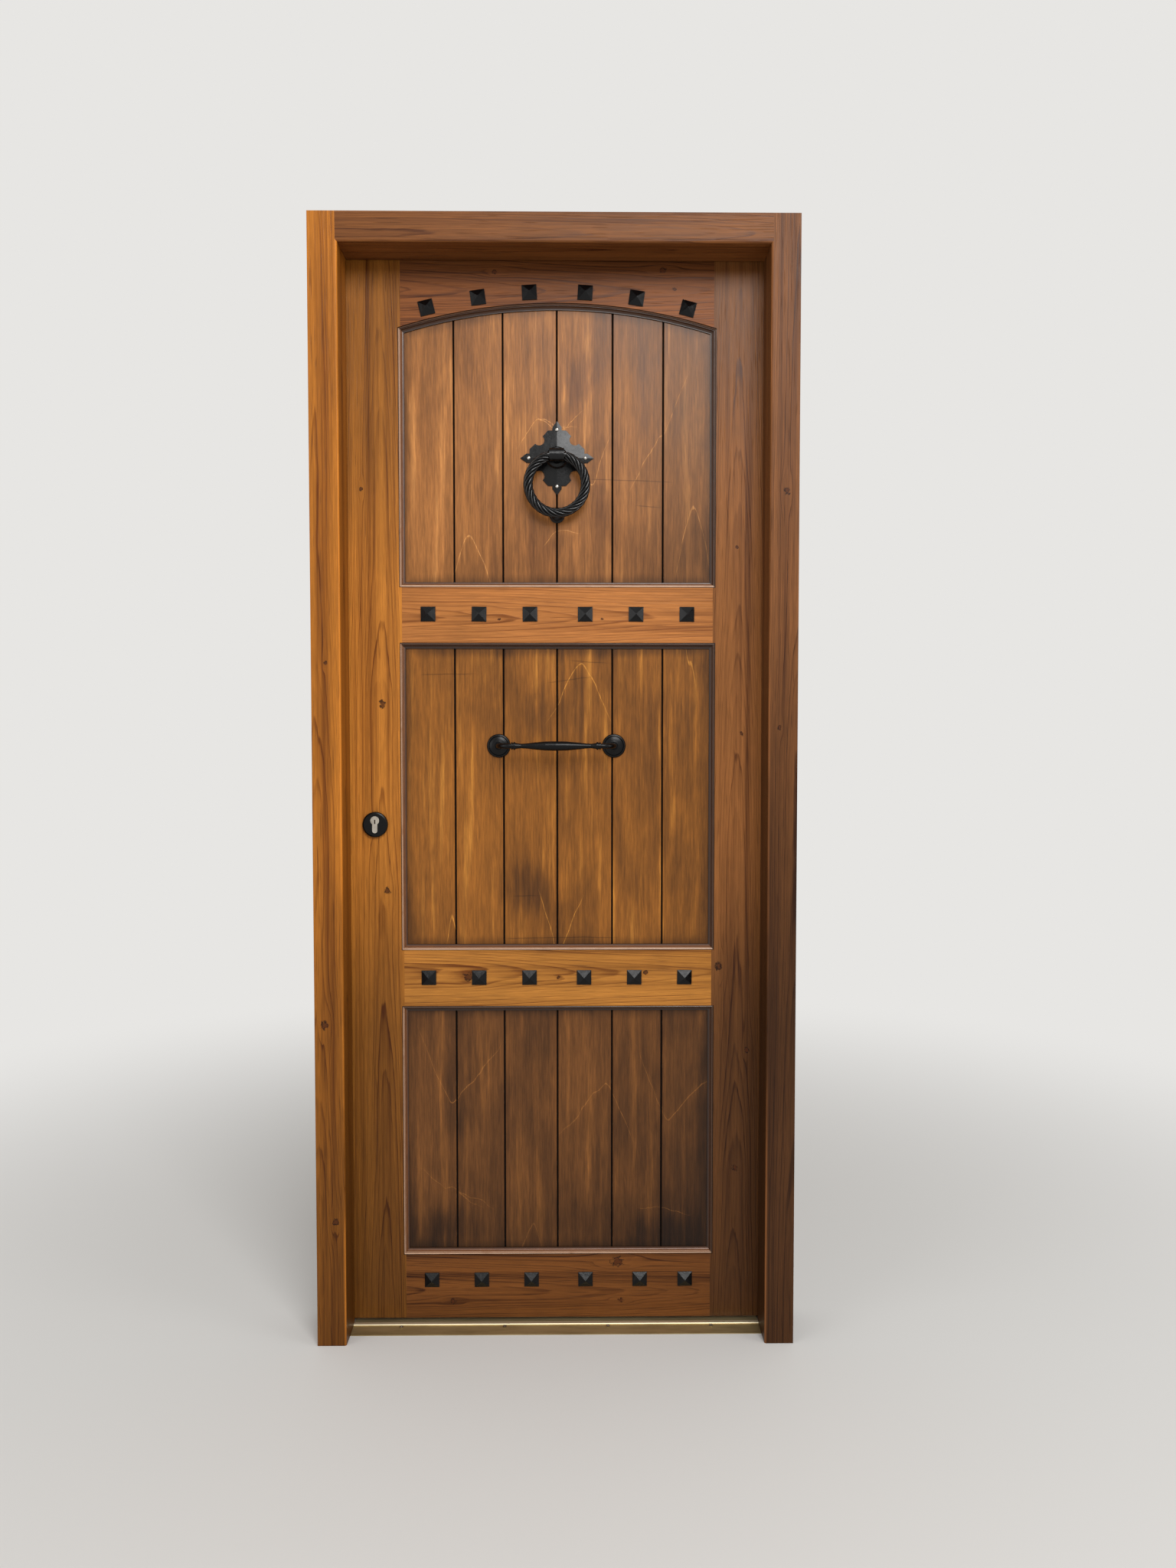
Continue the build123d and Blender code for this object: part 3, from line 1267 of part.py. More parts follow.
def strike_plate():
    """The strike with its two keeper holes."""
    plate = strike_outline(0.0)
    face = -SIGHT_HALF - REBATE
    for centre, height, _ in keeper_holes():
        half = height / 2 + STRIKE_PLAY
        depth = BOLT_THICKNESS / 2 + STRIKE_PLAY
        low = (face - STRIKE_THICKNESS, LEAF_MIDDLE - depth, centre - half)
        plate -= block(low, (face, LEAF_MIDDLE + depth, centre + half))
    for screw in strike_screws(SCREW_FIT):
        plate -= screw
    return plate


def strike_screws(grow=0.0):
    """The two screws that hold the strike plate."""
    face = -SIGHT_HALF - REBATE
    middle = (LATCH_HEIGHT_AT + DEADBOLT_HEIGHT_AT) / 2
    reach = STRIKE_LENGTH / 2 - 3 * SCREW_HEAD_RADIUS
    heads = [(face, LEAF_MIDDLE, middle + side * reach) for side in (-1, 1)]
    return [wood_screw(head, (-1, 0, 0), SCREW_LENGTH, grow) for head in heads]


# Hinges
def hinge_face(side):
    """X of the wood face that a plate is let into: jamb for 1, leaf for -1."""
    return HINGE_X + side * LEAF_GAP / 2


def hinge_recess(height, side):
    """The shallow recess for a plate in the jamb or the leaf's edge."""
    face = hinge_face(side)
    half = HINGE_HEIGHT / 2
    ends = sorted((face, face + side * HINGE_PLATE_THICKNESS))
    low = (ends[0], LEAF_THICKNESS - HINGE_PLATE_WIDTH, height - half)
    return block(low, (ends[1], LEAF_THICKNESS, height + half))


def knuckle_span(height, index):
    """Foot and head of one knuckle."""
    pitch = (HINGE_HEIGHT + HINGE_KNUCKLE_GAP) / HINGE_KNUCKLES
    foot = height - HINGE_HEIGHT / 2 + index * pitch
    return foot, foot + pitch - HINGE_KNUCKLE_GAP


def hinge_plate(height, side):
    """A hinge plate with its share of the knuckles: outer ones on the frame, inner ones on the leaf."""
    plate = hinge_recess(height, side)
    face = hinge_face(side)
    ends = sorted((face, face + side * HINGE_PLATE_THICKNESS))
    first = 0 if side == 1 else 1
    for index in range(first, HINGE_KNUCKLES, 2):
        foot, top = knuckle_span(height, index)
        plate += block((ends[0], LEAF_THICKNESS, foot), (ends[1], HINGE_Y, top))
        plate += rod_z(HINGE_X, HINGE_Y, HINGE_KNUCKLE_RADIUS, foot, top)
    bore = HINGE_PIN_RADIUS + HINGE_PIN_FIT
    half = HINGE_HEIGHT / 2
    plate -= rod_z(HINGE_X, HINGE_Y, bore, height - half, height + half)
    for screw in hinge_screws(height, side, SCREW_FIT):
        plate -= screw
    return plate


def hinge_pin(height):
    """A pin with a button head at each end."""
    half = HINGE_HEIGHT / 2
    radius = HINGE_KNUCKLE_RADIUS
    cap = HINGE_PIN_CAP
    outline = [(0, -half - cap), (radius * 0.6, -half - cap), (radius * 0.9, -half - cap * 0.5), (radius * 0.9, -half)]
    outline += [(HINGE_PIN_RADIUS, -half), (HINGE_PIN_RADIUS, half), (radius * 0.9, half)]
    outline += [(radius * 0.9, half + cap * 0.5), (radius * 0.6, half + cap), (0, half + cap)]
    plane = Plane(origin=(HINGE_X, HINGE_Y, height), x_dir=(1, 0, 0), z_dir=(0, -1, 0))
    return revolve(plane * make_face(Polyline(*outline, close=True)), axis=Axis((HINGE_X, HINGE_Y, height), (0, 0, 1)))


def hinge_screws(height, side, grow=0.0):
    """Four countersunk screws in two staggered rows."""
    face = hinge_face(side)
    screws = []
    pitch = HINGE_HEIGHT / 4
    for index in range(4):
        depth = HINGE_PLATE_WIDTH * (0.36 if index % 2 else 0.7)
        head = (face, LEAF_THICKNESS - depth, height + (index - 1.5) * pitch)
        screws.append(wood_screw(head, (side, 0, 0), SCREW_LENGTH, grow))
    return screws


def all_hinge_screws(side):
    """The screws of all three plates on one side."""
    return [screw for height in HINGE_HEIGHTS.values() for screw in hinge_screws(height, side)]


def build_nodes():
    """Every piece by its node's name."""
    left, right = pull_places()
    nodes = {
        "lock_jamb": lock_jamb(),
        "hinge_jamb": hinge_jamb(),
        "frame_head": frame_head(),
        "threshold_plate": threshold_plate(),
        "threshold_screws": threshold_screws(),
        "weather_seal": weather_seal(),
        "strike_plate": strike_plate(),
        "strike_screws": strike_screws(),
        "frame_hinge_screws": all_hinge_screws(1),
        "hinge_pins": [hinge_pin(height) for height in HINGE_HEIGHTS.values()],
        "lock_stile": lock_stile(),
        "hinge_stile": hinge_stile(),
        "leaf_hinge_screws": all_hinge_screws(-1),
        "pull_rose_left": pull_rose(left),
        "pull_rose_right": pull_rose(right),
        "pull_handle": pull_handle(),
        "pull_bolts": pull_bolts(),
        "knocker_plate": knocker_plate(),
        "knocker_nails": knocker_nails(),
        "knocker_anvil": knocker_anvil(),
        "knocker_ring": knocker_ring(),
        "lock_case": lock_case(),
        "lock_forend": lock_forend(),
        "forend_screws": forend_screws(),
        "latch_bolt": latch_bolt(),
        "dead_bolt": deadbolt_block(),
        "lock_follower": lock_follower(),
        "lever_spindle": lever_spindle(),
        "inner_lever": inner_lever(),
        "inner_rose": inner_rose(),
        "cylinder_body": cylinder_body(),
        "cylinder_plug": cylinder_plug(),
        "thumb_turn": thumb_turn(),
        "cylinder_cam": cylinder_cam(),
        "cylinder_screw": cylinder_screw(),
        "outer_escutcheon": escutcheon(0, 1),
        "inner_escutcheon": escutcheon(LEAF_THICKNESS, -1),
    }
    for name in RAILS:
        nodes[name + "_rail"] = rail(name)
        nodes[name + "_rail_studs"] = stud_row(name)
    for name in OPENINGS:
        nodes[name + "_panel"] = panel(name)
        nodes[name + "_panel_moulding"] = bead_frame(name)
        nodes[name + "_panel_inner_moulding"] = inner_bead_frame(name)
    for name, height in HINGE_HEIGHTS.items():
        nodes[name + "_hinge_frame_plate"] = hinge_plate(height, 1)
        nodes[name + "_hinge_leaf_plate"] = hinge_plate(height, -1)
    return nodes


def as_one(piece):
    """A single solid as it is, or a group of separate solids as one compound."""
    solids = [solid for item in (piece if isinstance(piece, list) else [piece]) for solid in item.solids()]
    return solids[0] if len(solids) == 1 else Compound(children=solids)


os.makedirs("parts", exist_ok=True)
for node, piece in build_nodes().items():
    export_step(as_one(piece), "parts/" + node + ".step")
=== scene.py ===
import math

import bpy
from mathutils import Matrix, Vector


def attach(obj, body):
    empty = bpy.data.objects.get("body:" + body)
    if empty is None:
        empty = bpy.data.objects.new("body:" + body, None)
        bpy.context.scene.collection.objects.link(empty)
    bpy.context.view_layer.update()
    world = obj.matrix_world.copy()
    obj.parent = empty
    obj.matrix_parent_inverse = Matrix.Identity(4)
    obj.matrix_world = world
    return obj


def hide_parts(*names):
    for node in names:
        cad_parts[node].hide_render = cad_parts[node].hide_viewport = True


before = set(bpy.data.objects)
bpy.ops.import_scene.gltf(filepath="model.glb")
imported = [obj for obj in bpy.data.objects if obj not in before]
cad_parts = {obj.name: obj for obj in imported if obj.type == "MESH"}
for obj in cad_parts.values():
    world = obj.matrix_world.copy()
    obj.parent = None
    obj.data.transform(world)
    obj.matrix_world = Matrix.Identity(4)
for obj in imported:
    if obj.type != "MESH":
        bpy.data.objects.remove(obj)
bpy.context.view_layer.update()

# Camera: a standing viewer in front of the step, a little right of the middle, looking slightly down
# and to the right. The two turns are in degrees, the lens and the film in millimetres.
EYE = (0.037, -2.239, 1.165)
LOOK_DOWN = 2.41
LOOK_RIGHT = 0.65
LENS = 26.37
FILM_HEIGHT = 36.0

camera_data = bpy.data.cameras.new("door_camera")
camera_data.sensor_fit = "VERTICAL"
camera_data.sensor_height = FILM_HEIGHT
camera_data.lens = LENS
camera = bpy.data.objects.new("door_camera", camera_data)
camera.location = EYE
camera.rotation_euler = (math.radians(90 - LOOK_DOWN), 0, math.radians(-LOOK_RIGHT))
bpy.context.scene.collection.objects.link(camera)
bpy.context.scene.camera = camera
bpy.context.scene.view_settings.view_transform = "Standard"


# Daylight: a broad window to the upper right, weaker ones at the left and the right, and an even sky.
# The floor runs into the pale backdrop far from the door and keeps the door's shadow near it.
def feed(tree, socket, value):
    """Gives a socket a plain value, or joins it to another node's output."""
    if isinstance(value, bpy.types.NodeSocket):
        tree.links.new(value, socket)
    elif value is not None:
        socket.default_value = value


def put(tree, kind, inputs=(), **settings):
    """Adds a node, sets it up, feeds its inputs in order or by name, and returns its first output."""
    node = tree.nodes.new(kind)
    for name, value in settings.items():
        setattr(node, name, value)
    pairs = inputs.items() if isinstance(inputs, dict) else enumerate(inputs)
    for key, value in pairs:
        feed(tree, node.inputs[key], value)
    return node.outputs[0] if node.outputs else node


def window(name, place, aim, size, power):
    """A soft square light that faces a point of the door."""
    lamp_data = bpy.data.lights.new(name, "AREA")
    lamp_data.size = size
    lamp_data.energy = power
    lamp = bpy.data.objects.new(name, lamp_data)
    lamp.location = place
    lamp.rotation_euler = (Vector(aim) - Vector(place)).to_track_quat("-Z", "Y").to_euler()
    bpy.context.scene.collection.objects.link(lamp)


window("upper_front_window", place=(0.85, -3.5, 3.7), aim=(0, 0, 1.3), size=2.0, power=128)
window("right_window", place=(3.1, -1.7, 2.0), aim=(0.2, 0, 1.4), size=1.3, power=16)
window("left_window", place=(-3.4, -3.0, 1.8), aim=(0, 0, 1.1), size=2.4, power=34)


def pale_to_rays(tree):
    """1 for the rays that see a backdrop directly, in gloss or through glass, and 0 for those that light."""
    rays = tree.nodes.new("ShaderNodeLightPath").outputs
    seen = put(tree, "ShaderNodeMath", (rays["Is Camera Ray"], rays["Is Glossy Ray"]), operation="MAXIMUM")
    return put(tree, "ShaderNodeMath", (seen, rays["Is Transmission Ray"]), operation="MAXIMUM")


BACKDROP = (0.80, 0.79, 0.77, 1)
SKY_COLOUR = (1.0, 0.98, 0.95, 1)
SKY_STRENGTH = 0.42
world = bpy.data.worlds.new("pale_sky")
world.use_nodes = True
bpy.context.scene.world = world
sky = world.node_tree
sky.nodes.clear()
lighting = put(sky, "ShaderNodeBackground", (SKY_COLOUR, SKY_STRENGTH))
showing = put(sky, "ShaderNodeBackground", (BACKDROP, 1.0))
put(sky, "ShaderNodeOutputWorld", (put(sky, "ShaderNodeMixShader", (pale_to_rays(sky), lighting, showing)),))

FLOOR_REACH = 9.0
FLOOR_DROP = 0.0005
FLOOR_COLOUR = (0.74, 0.73, 0.71, 1)
FADE_FROM = 0.6
FADE_TO = 3.0
floor_mesh = bpy.data.meshes.new("pale_floor")
floor_corners = [(x * FLOOR_REACH, y * FLOOR_REACH, -FLOOR_DROP) for x, y in ((-1, -1), (1, -1), (1, 1), (-1, 1))]
floor_mesh.from_pydata(floor_corners, [], [(0, 1, 2, 3)])
floor = bpy.data.objects.new("pale_floor", floor_mesh)
bpy.context.scene.collection.objects.link(floor)
floor_paint = bpy.data.materials.new("pale_floor")
floor_paint.use_nodes = True
ground = floor_paint.node_tree
ground_shader = ground.nodes["Principled BSDF"]
ground_shader.inputs["Base Color"].default_value = FLOOR_COLOUR
ground_shader.inputs["Roughness"].default_value = 0.9
ground_place = put(ground, "ShaderNodeTexCoord").node.outputs["Object"]
ground_distance = put(ground, "ShaderNodeVectorMath", (ground_place,), operation="LENGTH").node.outputs["Value"]
ground_far = put(
    ground, "ShaderNodeMapRange", (ground_distance, FADE_FROM, FADE_TO), interpolation_type="SMOOTHSTEP"
)
ground_share = put(ground, "ShaderNodeMath", (ground_far, pale_to_rays(ground)), operation="MULTIPLY")
ground_glow = put(ground, "ShaderNodeEmission", (BACKDROP, 1.0))
ground_both = put(ground, "ShaderNodeMixShader", (ground_share, ground_shader.outputs[0], ground_glow))
feed(ground, ground.nodes["Material Output"].inputs["Surface"], ground_both)
floor_mesh.materials.append(floor_paint)


# Jambs and head: solid pine, 55 mm wide on the face, with one rebate for the leaf. Stained honey
# brown and given satin varnish, which has rubbed thin along the arris, where a painted highlight is laid
# too; the reveal is darkened as painted shade. The head is tenoned in.
def stained(red, green, blue):
    """A finish colour measured as 0 to 255, as the shader wants it."""
    levels = [level / 255 for level in (red, green, blue)]
    return tuple(c / 12.92 if c < 0.04045 else ((c + 0.055) / 1.055) ** 2.4 for c in levels) + (1,)


class Sums:
    """Arithmetic between the sockets of one node tree."""

    def calc(self, operation, *values):
        return put(self.tree, "ShaderNodeMath", values, operation=operation)

    def add(self, a, b):
        return self.calc("ADD", a, b)

    def less(self, a, b):
        return self.calc("SUBTRACT", a, b)

    def times(self, a, b):
        return self.calc("MULTIPLY", a, b)

    def over(self, a, b):
        return self.calc("DIVIDE", a, b)

    def lower(self, a, b):
        return self.calc("MINIMUM", a, b)

    def higher(self, a, b):
        return self.calc("MAXIMUM", a, b)


class Finish(Sums):
    """One finish: a material whose pattern is read from the place on the piece."""

    def __init__(self, name, metallic=0.0, specular=0.5):
        self.material = bpy.data.materials.new(name)
        self.material.use_nodes = True
        self.tree = self.material.node_tree
        self.shader = self.tree.nodes["Principled BSDF"]
        self.shader.inputs["Metallic"].default_value = metallic
        self.shader.inputs["Specular IOR Level"].default_value = specular
        self.place = self.tree.nodes.new("ShaderNodeTexCoord").outputs["Object"]
        split = self.tree.nodes.new("ShaderNodeSeparateXYZ")
        self.tree.links.new(self.place, split.inputs[0])
        self.x, self.y, self.z = split.outputs

    def square(self, a):
        return self.times(a, a)

    def length(self, a, b):
        return self.calc("SQRT", self.add(self.square(a), self.square(b)))

    def blend_from(self, value, low, high, to_low=0.0, to_high=1.0):
        """Goes smoothly from one number to another while a value goes from low to high."""
        return put(
            self.tree, "ShaderNodeMapRange", (value, low, high, to_low, to_high), interpolation_type="SMOOTHSTEP"
        )

    def at(self, x, y, z):
        return put(self.tree, "ShaderNodeCombineXYZ", (x, y, z))

    def clouds(self, vector, scale, detail=2.0, roughness=0.5, distortion=0.0):
        """Soft irregular noise about 0.5."""
        return put(
            self.tree,
            "ShaderNodeTexNoise",
            {"Vector": vector, "Scale": scale, "Detail": detail, "Roughness": roughness, "Distortion": distortion},
        )

    def lot(self, number):
        """A number from 0 to 1, drawn anew for each whole number."""
        return put(self.tree, "ShaderNodeTexWhiteNoise", {"W": number}, noise_dimensions="1D")

    def sway(self, value, amount):
        """Turns noise about 0.5 into a shift to either side."""
        return self.times(self.less(value, 0.5), amount)

    def spread(self, value, middle, amount):
        """Turns noise about 0.5 into a number about a middle."""
        return self.add(self.sway(value, amount), middle)

    def by_height(self, stain_and_shade_by_height):
        """A strength that goes smoothly from each height's to the next one's."""
        strength = stain_and_shade_by_height[0][1]
        for (low, before), (high, after) in zip(stain_and_shade_by_height, stain_and_shade_by_height[1:]):
            strength = self.times(strength, self.blend_from(self.z, low, high, 1.0, after / before))
        return strength

    def mix(self, share, first, second, how="MIX"):
        node = self.tree.nodes.new("ShaderNodeMix")
        node.data_type = "RGBA"
        node.blend_type = how
        for index, value in ((0, share), (6, first), (7, second)):
            feed(self.tree, node.inputs[index], value)
        return node.outputs[2]

    def tinted(self, colour, tint):
        """A colour times another colour, or times a strength."""
        return self.mix(1.0, colour, tint, "MULTIPLY")

    def close(self, colour, roughness, height, depth, strength):
        """Joins the colour, the roughness and the relief to the shader."""
        relief = put(self.tree, "ShaderNodeBump", {"Strength": strength, "Distance": depth, "Height": height})
        feed(self.tree, self.shader.inputs["Base Color"], colour)
        feed(self.tree, self.shader.inputs["Roughness"], roughness)
        feed(self.tree, self.shader.inputs["Normal"], relief)
        return self.material


def dress(material, *names):
    """Gives carried-over pieces their finish."""
    for name in names:
        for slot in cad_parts[name].material_slots:
            slot.material = material


CLEAR_HALF = 0.400
FRAME_FRONT = -0.086
# Depths behind the front over which the painted shade of the reveal sets in.
REVEAL_SHADE_FROM = -0.083
REVEAL_SHADE_TO = -0.076
KNOT_HEART = stained(74, 36, 13)
KNOT_BARK = stained(26, 12, 5)


def stain_pine(
    piece, grain, heart, light, dark, stain_and_shade_by_height, knots=(), ring=0.0031, depth=0.05, taper=0.012, seed=0.0, arris=None,
    gloss=0.36,
):
    """Dresses a piece in stained pine. grain is up or across; heart is where the pith lies across the board,
    depth how far it lies behind the face, ring how far apart the year rings are, and taper how fast they run
    out along the board. The pairs of a height and a strength darken the wood there, partly as stain and partly
    as painted shade near the foot and the top. Each knot is its place across the grain, its place along it,
    and its radius. arris is the X of the front edge, lightened as rubbed varnish and a painted highlight, with
    the reveal behind it darkened as painted shade; gloss is the varnish's roughness."""
    wood = Finish(piece + "_pine", specular=0.16)
    across, along = (wood.x, wood.z) if grain == "up" else (wood.z, wood.x)
    shifted = wood.add(along, seed * 3.1)

    def fibres(cross, length, detail=2.0, roughness=0.5, shift=0.0):
        vector = wood.at(
            wood.times(wood.add(across, seed + shift), cross),
            wood.times(wood.y, cross),
            wood.times(shifted, length),
        )
        return wood.clouds(vector, 1.0, detail, roughness)

    bent = across
    knot_core = 0.0
    knot_ring = 0.0
    for knot_across, knot_along, radius in knots:
        side = wood.less(across, knot_across)
        reach = wood.less(along, knot_along)
        wobble = wood.sway(fibres(150, 150, 2.0), radius * 2.6)
        flow = wood.add(wood.square(side), wood.square(wood.times(reach, 0.30)))
        push = wood.lower(wood.over(radius * radius * 3.2, flow), 1.0)
        bent = wood.less(bent, wood.times(side, push))
        distance = wood.add(wood.length(side, wood.times(reach, 0.8)), wobble)
        knot_core = wood.higher(wood.blend_from(distance, radius * 0.95, radius * 0.75), knot_core)
        rim = wood.blend_from(wood.calc("ABSOLUTE", wood.less(distance, radius * 0.9)), radius * 0.5, 0.0)
        broken = wood.blend_from(fibres(230, 170, 1.0), 0.40, 0.55, 0.2, 1.0)
        knot_ring = wood.higher(wood.times(rim, broken), knot_ring)

    swing = wood.sway(fibres(2.0, 1.1, 2.0, 0.45), 0.022)
    sink = wood.sway(fibres(2.0, 1.7, 1.0, 0.5, 5.3), 0.016)
    ripple = wood.sway(fibres(60, 4.0, 3.0, 0.6), 0.0034)
    side = wood.add(wood.less(bent, heart), swing)
    behind = wood.add(wood.add(wood.y, depth), sink)
    from_pith = wood.add(wood.add(wood.length(side, behind), wood.times(along, taper)), ripple)
    uneven = wood.clouds(wood.at(wood.times(from_pith, 210), seed, 0.0), 1.0, 2.0)
    phase = wood.add(wood.over(from_pith, ring), wood.times(uneven, 1.8))
    year = wood.calc("FLOOR", phase)
    part = wood.calc("FRACT", phase)
    late = wood.add(
        wood.times(wood.blend_from(part, 0.05, 0.75), 0.34), wood.times(wood.blend_from(part, 0.64, 0.86), 0.66)
    )
    late = wood.times(late, wood.blend_from(part, 1.0, 0.91))
    late = wood.times(late, wood.add(wood.times(wood.lot(year), 0.80), 0.20))

    fine = fibres(560, 12.0, 2.0, 0.6)
    short = fibres(300, 24.0, 2.0, 0.6, 4.9)
    late = wood.times(late, wood.blend_from(short, 0.34, 0.62, 0.62, 1.0))
    streak = fibres(115, 1.1, 3.0, 0.6, 2.1)
    band = fibres(30, 0.6, 2.0, 0.5, 3.7)
    cloud = fibres(9, 2.2, 3.0, 0.55, 8.4)
    share = wood.add(wood.times(late, 0.56), wood.spread(streak, 0.0, 1.25))
    share = wood.add(share, wood.spread(band, 0.20, 1.15))
    colour = wood.mix(wood.blend_from(share, 0.0, 0.92), light, dark)
    pores = wood.blend_from(fibres(380, 13.0, 1.0, 0.5, 6.1), 0.62, 0.72)
    colour = wood.mix(wood.times(pores, 0.35), colour, wood.tinted(dark, (0.5, 0.45, 0.4, 1)))
    tone = wood.times(wood.spread(fine, 1.0, 0.66), wood.spread(short, 1.0, 0.60))
    # Darker or lighter by height: partly stain, partly painted shade near the foot and the top.
    tone = wood.times(wood.times(tone, wood.spread(cloud, 1.0, 0.80)), wood.by_height(stain_and_shade_by_height))
    # The reveal behind the front face is darkened to 0.74 as painted shade in the rebate.
    if arris is not None:
        tone = wood.times(tone, wood.blend_from(wood.y, REVEAL_SHADE_FROM, REVEAL_SHADE_TO, 1.0, 0.74))
    colour = wood.tinted(colour, tone)
    colour = wood.mix(wood.times(knot_core, 0.85), colour, KNOT_HEART)
    colour = wood.mix(wood.times(knot_ring, 0.95), colour, KNOT_BARK)
    # Along the front arris the colour is lightened and cooled, partly as rubbed varnish and partly as a painted
    # highlight.
    if arris is not None:
        edge = wood.length(wood.less(wood.x, arris), wood.add(wood.y, -FRAME_FRONT))
        rubbed_highlight = wood.times(wood.blend_from(edge, 0.0042, 0.0012), wood.blend_from(cloud, 0.36, 0.60))
        colour = wood.mix(wood.times(rubbed_highlight, 0.75), colour, wood.tinted(light, (1.5, 1.5, 1.6, 1)))
    roughness = wood.add(wood.times(fine, 0.16), wood.less(gloss, wood.times(late, 0.10)))
    height = wood.add(wood.times(fine, 0.7), wood.add(wood.times(late, 0.5), wood.times(pores, -0.6)))
    dress(wood.close(colour, roughness, height, 0.0005, 0.6), piece)


stain_pine(
    "lock_jamb", "up", -0.445, stained(186, 114, 38), stained(106, 52, 8),
    stain_and_shade_by_height=((0.05, 0.30), (0.55, 0.52), (0.95, 0.84), (1.8, 0.84)),
    knots=((-0.436, 0.618, 0.006), (-0.418, 0.24, 0.005), (-0.428, 1.30, 0.003)),
    seed=1.7, arris=-CLEAR_HALF,
)
# The hinge jamb's colours and strengths are lower than the lock jamb's: painted shade on the door's right side.
stain_pine(
    "hinge_jamb", "up", 0.452, stained(128, 80, 42), stained(62, 31, 12),
    stain_and_shade_by_height=((0.05, 0.30), (0.55, 0.36), (1.15, 0.56), (1.5, 1.06)),
    knots=((0.432, 1.62, 0.005), (0.421, 1.18, 0.003)),
    seed=4.4, arris=CLEAR_HALF,
)
stain_pine(
    "frame_head", "across", 2.09, stained(134, 82, 40), stained(74, 36, 13),
    stain_and_shade_by_height=((1.9, 0.80), (2.1, 0.80)), seed=7.9,
)


# Weather seal: black extruded rubber, a bulb and a lip on a barbed root, which is pressed into the groove
# of the frame's rebate.
seal = Finish("seal_rubber")
seal_bloom = seal.clouds(seal.place, 60, 3.0)
seal_grain = seal.clouds(seal.place, 900, 2.0)
dress(
    seal.close(
        seal.mix(seal_bloom, stained(18, 18, 19), stained(38, 37, 36)),
        seal.spread(seal_bloom, 0.68, 0.3),
        seal_grain,
        0.0001,
        0.4,
    ),
    "weather_seal",
)


# Threshold: a drawn brass-bronze strip with a raised nosing, worn bright where feet cross it, screwed
# to the floor between the jambs with four countersunk screws.
sill = Finish("threshold_bronze", 0.85)
sill_brushing = sill.clouds(sill.at(sill.times(sill.x, 14), sill.times(sill.y, 900), sill.z), 1.0, 3.0)
sill_tarnish = sill.clouds(sill.at(sill.times(sill.x, 7), sill.times(sill.y, 40), sill.z), 1.0, 4.0, 0.55)
sill_wear = sill.blend_from(sill.z, 0.0034, 0.0056)
sill_colour = sill.mix(sill.blend_from(sill_tarnish, 0.30, 0.75), stained(204, 184, 136), stained(164, 143, 100))
sill_colour = sill.mix(sill_wear, sill_colour, stained(232, 220, 188))
dress(
    sill.close(
        sill_colour,
        sill.add(sill.spread(sill_tarnish, 0.44, 0.16), sill.times(sill_brushing, 0.08)),
        sill_brushing,
        0.0001,
        0.35,
    ),
    "threshold_plate",
)


def steel(name, light, dark, roughness):
    """Drawn or rolled metal with fine handling marks."""
    metal = Finish(name, metallic=1.0)
    stain = metal.clouds(metal.place, 40, 4.0, 0.6)
    marks = metal.clouds(metal.place, 880, 2.0)
    colour = metal.mix(metal.blend_from(stain, 0.35, 0.72), light, dark)
    return metal.close(colour, metal.spread(stain, roughness, 0.3), marks, 0.0001, 0.25)


SPIN_SEED = 5


